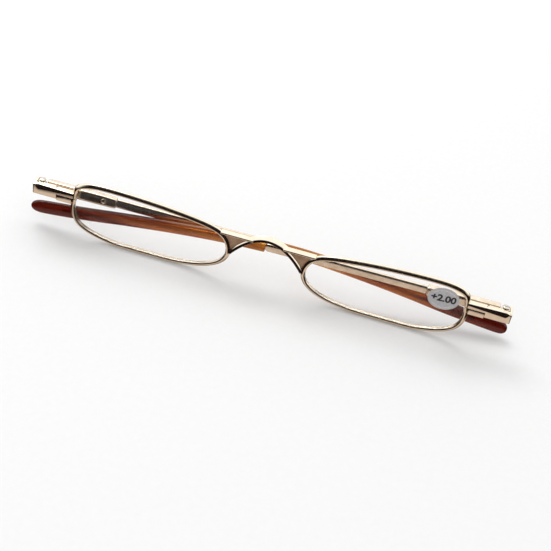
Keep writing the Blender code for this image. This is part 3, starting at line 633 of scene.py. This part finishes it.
def make_label_print(paint):
    curve = bpy.data.curves.new("print", "FONT")
    curve.body = PRINT
    curve.size = PRINT_SIZE
    curve.extrude = PRINT_DEPTH
    curve.offset = PRINT_WEIGHT
    curve.align_x, curve.align_y = "CENTER", "CENTER"
    letters = bpy.data.objects.new("print", curve)
    bpy.context.scene.collection.objects.link(letters)
    graph = bpy.context.evaluated_depsgraph_get()
    mesh = bpy.data.meshes.new_from_object(letters.evaluated_get(graph))
    bpy.data.objects.remove(letters, do_unlink=True)
    bm = bmesh.new()
    bm.from_mesh(mesh)
    for vert in bm.verts:
        x, z = LABEL_CENTRE[0] + vert.co.x, LABEL_CENTRE[1] + PRINT_RISE + vert.co.y
        vert.co = front(x, label_front(x, z, PRINT_DEPTH + vert.co.z), z)
    add_piece("label_print", bm, paint, "front", "strength_label")


def make_label_border(paint):
    """A row of small dashes along the label's top and another along its bottom."""
    bm = bmesh.new()
    for middle in (90, -90):
        for i in range(DASHES):
            angle = math.radians(middle + DASH_SPREAD * (2 * i / (DASHES - 1) - 1))
            x, z = label_place(DASH_RING, angle)
            wide, high = DASH_WIDTHS[i % 3] / 2, DASH_HEIGHT / 2
            ring = [(x - wide, z - high), (x + wide, z - high), (x + wide, z + high),
                    (x - wide, z + high)]
            loft(bm, [[front(a, label_front(a, b, lift), b) for a, b in ring]
                      for lift in (0.0, DASH_DEPTH)])
    add_piece("label_border", bm, paint, "front", "strength_label")


def arch_point(x, up, y):
    """A place across the bridge's arch, which is a parabola."""
    slope = -2 * ARCH_DROP * x
    length = math.hypot(1, slope)
    return front(x - up * slope / length, y, CROWN_Z - ARCH_DROP * x * x + up / length)


def make_bridge(paint, shaded_plate_paint):
    section = filleted(ARCH_SECTION, ARCH_ROUNDING, 3)
    places = [ARCH_END_X * (2 * i / ARCH_STEPS - 1) for i in range(ARCH_STEPS + 1)]
    rings = [[arch_point(x, up, y) for up, y in section] for x in places]
    add_piece("bridge_arch", lofted(rings), paint, "front", "bridge")
    top_x = math.sqrt((CROWN_Z + ARCH_TOP - BAR_TOP_Z) / ARCH_DROP)
    edge = [(p.x + GUSSET_RIM * n.x, p.y + GUSSET_RIM * n.y) for p, n in RIM_FRAMES]
    edge = [p for p in edge if p[0] < LENS_CENTRE[0] and GUSSET_LOW_Z < p[1] < GUSSET_HIGH_Z]
    edge.sort(key=lambda p: p[1])
    for name, side in SIDES.items():
        make_gusset(name, side, top_x, edge, shaded_plate_paint)
        section = filleted(BRIDGE_BAR_SECTION, BRIDGE_BAR_ROUNDING, 3)
        start, end = top_x - BAR_ARCH_OVERLAP, edge[-1][0] + BAR_RIM_OVERLAP
        places = [start + (end - start) * i / 8 for i in range(9)]
        rings = [[front(side * x, y, z) for z, y in section] for x in places]
        add_piece(f"{name}_bridge_bar", lofted(rings), paint, "front", "bridge")


def make_gusset(name, side, top_x, edge, paint):
    """The plate between the arch, the bar above and the rim, whose edge is given."""
    under = [arch_point(top_x + (GUSSET_END_X - top_x) * i / 10, GUSSET_UP, 0) for i in range(11)]
    corner = (top_x + GUSSET_CORNER[0], BAR_TOP_Z + GUSSET_CORNER[1])
    outline = [corner, *((x, z) for x, _, z in under), *edge]
    bm = cushioned(outline, GUSSET_FRONT, GUSSET_REAR, GUSSET_ROUNDING,
                   lambda a, b, level: front(side * a, level, b), 2)
    add_piece(f"{name}_bridge_gusset", bm, paint, "front", "bridge")


def strip_path():
    """(x, y, normal) along the outer face of an end piece, round its corner and back."""
    start, end = outer_rim_x(END_TOP) - STRIP_SINK, HALF_WIDTH - END_CORNER
    middle_y = END_FRONT + END_CORNER
    path = [(start + (end - start) * i / STRIP_STEPS, END_FRONT, (0.0, -1.0))
            for i in range(STRIP_STEPS)]
    for i in range(CORNER_STEPS + 1):
        t = math.pi / 2 * i / CORNER_STEPS
        normal = (math.sin(t), -math.cos(t))
        path.append((end + END_CORNER * normal[0], middle_y + END_CORNER * normal[1], normal))
    path += [(HALF_WIDTH, middle_y + (ELBOW_REAR - middle_y) * i / ELBOW_STEPS, (1.0, 0.0))
             for i in range(1, ELBOW_STEPS + 1)]
    return path


def rounded_plan(side, first, last, front_y, rear_y, corner=BLOCK_CORNER, steps=3):
    """A rectangle seen from above, between two distances from the middle of the glasses."""
    corners = [(side * first, front_y), (side * last, front_y), (side * last, rear_y),
               (side * first, rear_y)]
    return filleted(corners, corner, steps)


def make_end_piece(name, side, paint):
    path = strip_path()
    start_x = path[0][0]
    inner, outer = BEVEL_HEIGHTS
    rings = []
    for x, y, (nx, ny) in path:
        bevel = inner + (outer - inner) * (x - start_x) / (HALF_WIDTH - start_x)
        bevel *= min(1.0, max(BEVEL_LEAST, (BEVEL_END_X - x) / BEVEL_FADE))
        corners = [(0.0, END_BOTTOM), (0.0, END_TOP - bevel), (-BEVEL_SLOPE * bevel, END_TOP),
                   (-STRIP_TOP_THICKNESS, END_TOP), (-STRIP_BOTTOM_THICKNESS, END_BOTTOM)]
        thinner = 1 - ELBOW_THINNING * min(1.0, max(0.0, nx))
        section = [(out * thinner, z) for out, z in filleted(corners, STRIP_ROUNDING, 4)]
        rings.append([front(side * (x + out * nx), y + out * ny, z) for out, z in section])
    node = f"{name}_end_piece"
    piece = add_piece(f"{name}_end_strip", lofted(rings), paint, "front", node)
    low_x, high_x = sorted((side * (start_x - BEYOND), side * (LOCK_END_X + LOCK_GAP)))
    low = front(low_x, -BEYOND, END_BOTTOM - BEYOND)
    high = front(high_x, BEYOND, SPLIT_Z + LOCK_GAP)
    bake_cuts(piece, [(block(low, high), "DIFFERENCE")])
    for part, first, last, rear, bottom in (
        ("lug", outer_rim_x(END_TOP) - LUG_SINK, LUG_END_X, END_REAR, SPLIT_Z + LUG_GAP),
        ("shoulder", LOCK_END_X + LUG_GAP, SHOULDER_END_X, END_REAR, INNER_BOTTOM),
        ("seat", SEAT_START_X, SEAT_END_X, LEAF_SEAT_Y, INNER_BOTTOM),
    ):
        outline = rounded_plan(side, first, last, INNER_FRONT, rear)
        bm = cushioned(outline, bottom, INNER_TOP, INNER_ROUNDING, front)
        add_piece(f"{name}_end_{part}", bm, paint, "front", node)


def make_closing_block(name, side, paint):
    start = outer_rim_x(LOCK_JOIN_Z) - LOCK_SINK
    outline = rounded_plan(side, start, LOCK_END_X, END_FRONT, END_REAR)
    bm = cushioned(outline, LOCK_BOTTOM, LOCK_TOP, LOCK_ROUNDING, front)
    piece = add_piece(f"{name}_lock_block", bm, paint, "front", f"{name}_closing_block")
    x, y, _ = front(side * RIM_SCREW_X, RIM_SCREW_Y, 0)
    profile = [(RIM_SCREW_ROOM, LOCK_BOTTOM - BEYOND), (RIM_SCREW_ROOM, RIM_SCREW_SEAT),
               (RIM_THREAD_ROOM, RIM_SCREW_SEAT), (RIM_THREAD_ROOM, LOCK_TOP + BEYOND)]
    bake_cuts(piece, [(turned(profile, (x, y)), "DIFFERENCE")])


def make_screw(name, centre, level, profile, slot, paint, node):
    """A turned screw whose profile and slot are measured up from level."""
    screw = add_piece(name, turned([(r, level + z) for r, z in profile], centre), paint, "front", node)
    x, y = centre
    low, high = (level + z for z in slot)
    half = SLOT_WIDTH / 2
    cutter = block((x - SLOT_REACH, y - half, low), (x + SLOT_REACH, y + half, high))
    bake_cuts(screw, [(cutter, "DIFFERENCE")])


def make_front_screws(name, side, paint):
    x, y, _ = front(side * RIM_SCREW_X, RIM_SCREW_Y, 0)
    make_screw(f"{name}_lock_screw", (x, y), RIM_SCREW_LOW, RIM_SCREW_PROFILE, RIM_SCREW_SLOT,
               paint, f"{name}_rim_screw")
    hinge = joint_position(name)
    make_screw(f"{name}_pivot_screw", (hinge.x, hinge.y), PIN_SEAT, PIN_PROFILE, PIN_SLOT,
               paint, f"{name}_hinge_screw")


def make_hinge_leaf(name, side, paint):
    """The plate with two barrels: one barrel with a notch cut out for the tongue."""
    hinge = joint_position(name)
    outline = rounded_plan(side, LEAF_START_X, LEAF_END_X, LEAF_FRONT, LEAF_REAR, LEAF_CORNER, 2)
    bm = cushioned(outline, LEAF_BOTTOM, LEAF_TOP, LEAF_ROUNDING, front, 2)
    leaf = add_piece(f"{name}_leaf_body", bm, paint, "front", f"{name}_hinge_leaf")
    centre = (hinge.x, hinge.y)
    inner = BARREL_RADIUS - BARREL_CHAMFER
    profile = [(inner, LEAF_BOTTOM), (BARREL_RADIUS, LEAF_BOTTOM + BARREL_CHAMFER),
               (BARREL_RADIUS, LEAF_TOP - BARREL_CHAMFER), (inner, LEAF_TOP)]
    hole = [(PIN_HOLE_RADIUS, LEAF_BOTTOM - BEYOND), (PIN_HOLE_RADIUS, LEAF_TOP + BEYOND)]
    room = TONGUE_HALF_HEIGHT + TONGUE_ROOM
    low_x, high_x = sorted((hinge.x - side * NOTCH_INNER, hinge.x + side * NOTCH_OUTER))
    notch = block((low_x, hinge.y - NOTCH_REACH, hinge.z - room),
                  (high_x, hinge.y + NOTCH_REACH, hinge.z + room))
    bake_cuts(leaf, [(turned(profile, centre, 48), "UNION"), (notch, "DIFFERENCE"),
                     (turned(hole, centre, 32), "DIFFERENCE")])


# Temples


def joint_position(name):
    joint = next(j for j in frame["joints"] if j["name"] == f"{name}_temple_fold")
    return Vector(joint["pos_m"]) / MM


def temple_axes(name, side):
    """The hinge's middle and the directions along, out and up of a folded temple."""
    joint = next(j for j in frame["joints"] if j["name"] == f"{name}_spring_travel")
    along = Vector(joint["axis"]).normalized()
    out = Vector((0, 0, 1)).cross(-side * along).normalized()
    up = (-side * along).cross(out)
    return joint_position(name), along, out, up


def temple_height(along):
    """How high the temple's line is here, on a cubic through the points of TEMPLE_LINE."""
    for a, b, c, d in zip(TEMPLE_LINE, TEMPLE_LINE[1:], TEMPLE_LINE[2:], TEMPLE_LINE[3:]):
        if along <= c[0]:
            break
    slope_b = (c[1] - a[1]) / (c[0] - a[0])
    slope_c = (d[1] - b[1]) / (d[0] - b[0])
    span = c[0] - b[0]
    t = (along - b[0]) / span
    return (
        (2 * t**3 - 3 * t**2 + 1) * b[1]
        + (t**3 - 2 * t**2 + t) * span * slope_b
        + (3 * t**2 - 2 * t**3) * c[1]
        + (t**3 - t**2) * span * slope_c
    )


def superellipse(width, height, power, points):
    ring = []
    for i in range(points):
        t = 2 * math.pi * (i + 0.5) / points
        c, s = math.cos(t), math.sin(t)
        across = 0.5 * width * math.copysign(abs(c) ** (2 / power), c)
        upwards = 0.5 * height * math.copysign(abs(s) ** (2 / power), s)
        ring.append((across, upwards))
    return ring


class Temple:
    """Builds a temple's pieces in its own directions."""

    def __init__(self, name, side):
        self.name = name
        self.hinge, self.along, self.out, self.up = temple_axes(name, side)
        self.body = f"{name}_temple"
        self.lean = math.radians(LEAN[name])

    def point(self, along, out, up, rise=0.0):
        """A place on the temple. Its sections lean, and come upright again along the tip."""
        lean = self.lean * min(1.0, max(0.0, (UPRIGHT_FROM - along) / (UPRIGHT_FROM - TIP_START)))
        sideways = self.out * math.cos(lean) - self.up * math.sin(lean)
        upwards = self.up * math.cos(lean) + self.out * math.sin(lean)
        return self.hinge + along * self.along + out * sideways + up * upwards + rise * self.up

    def rings(self, stations, section, middle):
        """Sections from (along, thickness, height) stations, following the temple's line."""
        made = []
        for along, thickness, height in stations:
            rise = temple_height(along)
            outline = superellipse(thickness, height, *section)
            made.append([self.point(along, middle + out, up, rise) for out, up in outline])
        return made

    def rod(self, start, end, out, radius):
        turns = full_turn(24)
        return lofted([[self.point(along, out + radius * math.cos(t), radius * math.sin(t))
                        for t in turns] for along in (start, end)])

    def cross_rod(self, along, profile):
        """A round solid that runs outwards, from (radius, out) pairs."""
        turns = full_turn(32)
        return lofted([[self.point(along + r * math.cos(t), out, r * math.sin(t)) for t in turns]
                       for r, out in profile])

    def barrel(self, profile):
        """A round solid on the hinge's axis, from (radius, up) pairs."""
        turns = full_turn(48)
        return lofted([[self.point(r * math.cos(t), r * math.sin(t), up) for t in turns]
                       for r, up in profile])

    def box(self, low, high):
        (a0, o0, u0), (a1, o1, u1) = low, high
        corners = [(o0, u0), (o1, u0), (o1, u1), (o0, u1)]
        return lofted([[self.point(along, *corner) for corner in corners] for along in (a0, a1)])


def make_tongue(temple, paint):
    half, inner = TONGUE_HALF_HEIGHT, TONGUE_RADIUS - TONGUE_CHAMFER
    bm = temple.barrel([(inner, -half), (TONGUE_RADIUS, TONGUE_CHAMFER - half),
                        (TONGUE_RADIUS, half - TONGUE_CHAMFER), (inner, half)])
    tongue = add_piece(f"{temple.name}_tongue_body", bm, paint, f"{temple.name}_hinge",
                       f"{temple.name}_hinge_tongue")
    neck = temple.box((NECK_START, CHANNEL_MIDDLE - NECK_HALF_THICKNESS, -half),
                      (NECK_END, CHANNEL_MIDDLE + NECK_HALF_THICKNESS, half))
    hole = temple.barrel([(PIN_HOLE_RADIUS, -BEYOND), (PIN_HOLE_RADIUS, BEYOND)])
    bake_cuts(tongue, [
        (neck, "UNION"),
        (temple.rod(SHAFT_START, SHAFT_END, CHANNEL_MIDDLE, SHAFT_RADIUS), "UNION"),
        (temple.rod(HEAD_START, HEAD_END, CHANNEL_MIDDLE, HEAD_RADIUS), "UNION"),
        (hole, "DIFFERENCE"),
    ])


def make_spring_box(temple, paint):
    middle, thick = (BOX_INNER + BOX_OUTER) / 2, BOX_OUTER - BOX_INNER
    stations = []
    length, depth = BOX_START_ROUNDING
    for angle in quarter_turn(ROUNDING_STEPS):
        cut = depth * (1 - math.sin(angle))
        along = BOX_START + length * (1 - math.cos(angle))
        stations.append((along, thick - cut, BOX_HEIGHT - cut))
    stations += [(along, thick, height) for along, height in BOX_TAPER]
    length, depth = BOX_END_ROUNDING
    for angle in quarter_turn(ROUNDING_STEPS):
        cut = depth * (1 - math.cos(angle))
        along = BOX_END - length + length * math.sin(angle)
        stations.append((along, thick - cut, BOX_END_HEIGHT - cut))
    bm = lofted(temple.rings(stations, BOX_SECTION, middle))
    box = add_piece(f"{temple.name}_box_shell", bm, paint, temple.body, f"{temple.name}_spring_box")
    channel = temple.box((0.0, CHANNEL_MIDDLE - CHANNEL_WIDTH / 2, -CHANNEL_HEIGHT / 2),
                         (CHANNEL_END, CHANNEL_MIDDLE + CHANNEL_WIDTH / 2, CHANNEL_HEIGHT / 2))
    half_width, half_height = TANG_THICKNESS / 2 + TANG_ROOM, TANG_HEIGHT / 2 + TANG_ROOM
    socket = temple.box((SOCKET_START, BAR_MIDDLE - half_width, -half_height),
                        (BOX_END + BEYOND, BAR_MIDDLE + half_width, half_height))
    seat = temple.cross_rod(RIVET_ALONG, RIVET_SEAT)
    bake_cuts(box, [(cutter, "DIFFERENCE") for cutter in (channel, socket, seat)])


def make_bush(temple, paint):
    half_width, half_height = CHANNEL_WIDTH / 2 - BUSH_ROOM, CHANNEL_HEIGHT / 2 - BUSH_ROOM
    bm = temple.box((BUSH_START, CHANNEL_MIDDLE - half_width, -half_height),
                    (BUSH_END, CHANNEL_MIDDLE + half_width, half_height))
    bush = add_piece(f"{temple.name}_bush", bm, paint, temple.body, f"{temple.name}_stop_bush")
    bore = temple.rod(BUSH_START - BEYOND, BUSH_END + BEYOND, CHANNEL_MIDDLE, BUSH_BORE)
    bake_cuts(bush, [(bore, "DIFFERENCE")])


def make_coil(temple, paint):
    """The spring: a coil that runs from the bush to the tongue's head."""
    steps = SPRING_TURNS * TURN_STEPS
    rings = []
    for i in range(steps + 1):
        t = 2 * math.pi * i / TURN_STEPS
        along = SPRING_START + (SPRING_END - SPRING_START) * i / steps
        ring = []
        for w in full_turn(WIRE_STEPS):
            r = COIL_RADIUS + WIRE_RADIUS * math.cos(w)
            ring.append(temple.point(along + WIRE_RADIUS * math.sin(w),
                                     CHANNEL_MIDDLE + r * math.cos(t), r * math.sin(t)))
        rings.append(ring)
    coil = add_piece(f"{temple.name}_coil", lofted(rings), paint, None)
    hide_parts(f"{temple.name}_hinge_spring")
    first, last = (temple.point(along, CHANNEL_MIDDLE, 0) * MM for along in (SPRING_START, SPRING_END))
    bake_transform(coil)


def make_rivet(temple, paint):
    add_piece(f"{temple.name}_rivet_head", temple.cross_rod(RIVET_ALONG, RIVET_PROFILE), paint,
              temple.body, f"{temple.name}_temple_rivet")


def make_bar(temple, paint):
    """The bar between its tang in the box and its core wire in the tip."""
    length = BAR_FULL_TO - BAR_STEPS_FROM
    core = CORE_END - TIP_START
    stations = [
        (TANG_START, TANG_THICKNESS, TANG_HEIGHT), (TANG_END, TANG_THICKNESS, TANG_HEIGHT),
        (BAR_START, *BAR_START_SIZE), (BAR_FULL_FROM, BAR_THICKNESS, BAR_HEIGHT),
        *((BAR_STEPS_FROM + length * i / BAR_STEPS, BAR_THICKNESS, BAR_HEIGHT)
          for i in range(BAR_STEPS + 1)),
        (BAR_END, *BAR_END_SIZE),
        *((TIP_START + core * i / CORE_STEPS, CORE_THICKNESS, CORE_HEIGHT)
          for i in range(CORE_STEPS + 1)),
    ]
    bm = lofted(temple.rings(stations, BAR_SECTION, BAR_MIDDLE))
    bar = add_piece(f"{temple.name}_bar_strip", bm, paint, temple.body, f"{temple.name}_temple_bar")
    hole = temple.cross_rod(RIVET_ALONG, [(RIVET_RADIUS, -BEYOND), (RIVET_RADIUS, BEYOND)])
    bake_cuts(bar, [(hole, "DIFFERENCE")])


def tip_height(along):
    for (a, low), (b, high) in zip(TIP_HEIGHTS, TIP_HEIGHTS[1:]):
        if along <= b:
            return low + (high - low) * (along - a) / (b - a)
    return TIP_HEIGHTS[-1][1]


def tip_stations(end_power):
    """(along, thickness, height) from the tip's lip to its blunt end."""
    stations = [(TIP_START + along, TIP_THICKNESS - thinner, tip_height(TIP_START) - lower)
                for along, thinner, lower in TIP_LIP]
    last, last_height = TIP_HEIGHTS[-1]
    for i in range(TIP_STEPS + 1):
        along = TIP_FULL_FROM + (last - TIP_FULL_FROM) * i / TIP_STEPS
        stations.append((along, TIP_THICKNESS, tip_height(along)))
    for angle in quarter_turn(TIP_END_STEPS)[1:]:
        t = math.sin(angle)
        share = max(TIP_END_LEAST, (1 - t**end_power) ** 0.5)
        stations.append((last + (TIP_END - last) * t, TIP_THICKNESS * share**TIP_END_THINNING,
                         last_height * share))
    return stations


def make_tip(temple, paint):
    """The sleeve: an outer skin and the skin of its bore, joined round the open end."""
    length = TIP_START - TIP_BORE_END
    bore = [(TIP_BORE_END + length * i / TIP_BORE_STEPS, TIP_BORE_THICKNESS, TIP_BORE_HEIGHT)
            for i in range(TIP_BORE_STEPS + 1)]
    stations = tip_stations(TIP_END_POWER[temple.name])
    bm = bmesh.new()
    outer_rings = loft(bm, temple.rings(stations, TIP_SECTION, TIP_MIDDLE), caps=False)
    bore_rings = loft(bm, temple.rings(bore, TIP_SECTION, BAR_MIDDLE), caps=False)
    bm.faces.new(outer_rings[-1])
    bm.faces.new(bore_rings[0])
    inside, outside = bore_rings[-1], outer_rings[0]
    for i in range(len(inside)):
        j = (i + 1) % len(inside)
        bm.faces.new((inside[i], inside[j], outside[j], outside[i]))
    add_piece(f"{temple.name}_tip_sleeve", bm, paint, temple.body, f"{temple.name}_temple_tip",
              sharp=50)


# Setting


def make_camera():
    azimuth, elevation, roll = (math.radians(a) for a in (AZIMUTH, ELEVATION, ROLL))
    ahead = Vector((-math.sin(azimuth) * math.cos(elevation), math.cos(azimuth) * math.cos(elevation),
                    -math.sin(elevation)))
    level = ahead.cross(Vector((0, 0, 1))).normalized()
    above = level.cross(ahead)
    right = level * math.cos(roll) + above * math.sin(roll)
    up = -level * math.sin(roll) + above * math.cos(roll)
    data = bpy.data.cameras.new("camera")
    data.sensor_width, data.lens = SENSOR_WIDTH, FOCAL_LENGTH
    data.clip_start, data.clip_end = 0.01, 20.0
    camera = bpy.data.objects.new("camera", data)
    bpy.context.scene.collection.objects.link(camera)
    rotation = Matrix((right, up, -ahead)).transposed().to_4x4()
    camera.matrix_world = Matrix.Translation(Vector(AIM) - ahead * DISTANCE) @ rotation
    bpy.context.scene.camera = camera


def make_floor():
    bm = bmesh.new()
    bmesh.ops.create_grid(bm, x_segments=8, y_segments=8, size=FLOOR_SIZE / 2)
    mesh = bpy.data.meshes.new("floor")
    bm.to_mesh(mesh)
    bm.free()
    made, nodes, links = new_material("floor_paper")
    shader = nodes["Principled BSDF"]
    grain = surface_noise(nodes, links, 600.0, 4.0)
    stops = [(0.3, (0.885, 0.885, 0.885)), (0.7, (0.9, 0.9, 0.9))]
    links.new(ramp(nodes, links, grain, stops), shader.inputs["Base Color"])
    shader.inputs["Roughness"].default_value = 0.8
    shader.inputs["Specular IOR Level"].default_value = 0.2
    mesh.materials.append(made)
    floor = bpy.data.objects.new("floor", mesh)
    floor.location.z = -FLOOR_DROP
    bpy.context.scene.collection.objects.link(floor)
    floor.visible_glossy = False


def make_world():
    """A pale room for lighting. Polished surfaces see more of it: white behind and above the
    glasses, a dark side in front from just below their height upwards, and tan below that."""
    world = bpy.data.worlds.new("studio")
    bpy.context.scene.world = world
    world.use_nodes = True
    nodes, links = world.node_tree.nodes, world.node_tree.links
    place = nodes.new("ShaderNodeTexCoord")
    split = nodes.new("ShaderNodeSeparateXYZ")
    links.new(place.outputs["Generated"], split.inputs["Vector"])
    x, y, z = (split.outputs[axis] for axis in "XYZ")
    sideways = calculated(nodes, links, "MULTIPLY", x, x)
    height = calculated(nodes, links, "MULTIPLY_ADD", sideways, SIDE_LIFT, z)
    front_room = ramp(nodes, links, spread(nodes, links, height, 0.0, 1.0, -1.0, 1.0),
                      [(0.0, TAN), (0.2, TAN), (0.24, DARK), (0.88, DARK), (0.92, WHITE)])
    back_room = ramp(nodes, links, spread(nodes, links, z, 0.0, 1.0, -1.0, 1.0),
                     [(0.0, LOW_BROWN), (0.44, HIGH_BROWN), (0.5, WHITE)])
    turn = calculated(nodes, links, "MULTIPLY", sideways, z)
    ahead = calculated(nodes, links, "MULTIPLY_ADD", turn, SIDE_TURN, y)
    in_front = spread(nodes, links, ahead, 1.0, 0.0, -0.3, -0.1)
    room = mixed(nodes, links, in_front, back_room, front_room)
    path = nodes.new("ShaderNodeLightPath")
    seen = mixed(nodes, links, path.outputs["Is Glossy Ray"], ROOM_GREY, room)
    links.new(seen, nodes["Background"].inputs["Color"])


def make_light():
    data = bpy.data.lights.new("softbox", "AREA")
    data.shape = "RECTANGLE"
    data.size, data.size_y = SOFTBOX_SIZE
    data.energy = SOFTBOX_POWER
    light = bpy.data.objects.new("softbox", data)
    light.location = SOFTBOX_PLACE
    light.rotation_euler = (-light.location).to_track_quat("-Z", "Y").to_euler()
    light.visible_camera = False
    bpy.context.scene.collection.objects.link(light)


def make_glasses():
    even, lengthwise = (1.0, 1.0, 1.0), (0.15, 1.0, 1.0)
    gold = metal("frame_gold", (0.87, 0.78, 0.65), (0.83, 0.73, 0.59), 0.06, 0.15, even)
    # The gusset plates' dark brown base colour is painted shade for their recess under the bridge bar;
    # their higher roughness is a satin finish.
    satin_shaded_gold = metal("gusset_shaded_gold", (0.46, 0.34, 0.25), (0.34, 0.24, 0.17), 0.3, 0.45, even)
    temple_gold = metal("temple_gold", (0.84, 0.74, 0.61), (0.72, 0.61, 0.48), 0.08, 0.18, lengthwise)
    steel = metal("small_steel", (0.72, 0.68, 0.62), (0.58, 0.54, 0.48), 0.12, 0.3, even)
    glass = lens_material()
    make_bridge(gold, satin_shaded_gold)
    make_label_sheet(film_material())
    make_label_print(ink_material("print_ink", (0.05, 0.045, 0.045), (0.012, 0.01, 0.01)))
    make_label_border(ink_material("border_ink", (0.62, 0.6, 0.6), (0.5, 0.48, 0.48)))
    for name, side in SIDES.items():
        make_rim(name, side, gold)
        make_lens(name, side, glass)
        make_end_piece(name, side, gold)
        make_closing_block(name, side, gold)
        make_front_screws(name, side, steel)
        make_hinge_leaf(name, side, gold)
        temple = Temple(name, side)
        make_tongue(temple, steel)
        make_spring_box(temple, temple_gold)
        make_bush(temple, steel)
        make_coil(temple, steel)
        make_rivet(temple, gold)
        make_bar(temple, temple_gold)
        make_tip(temple, tip_material(f"{name}_tip_amber", side))


make_camera()
make_floor()
make_world()
make_light()
make_glasses()
bpy.context.scene.view_settings.view_transform = "Standard"
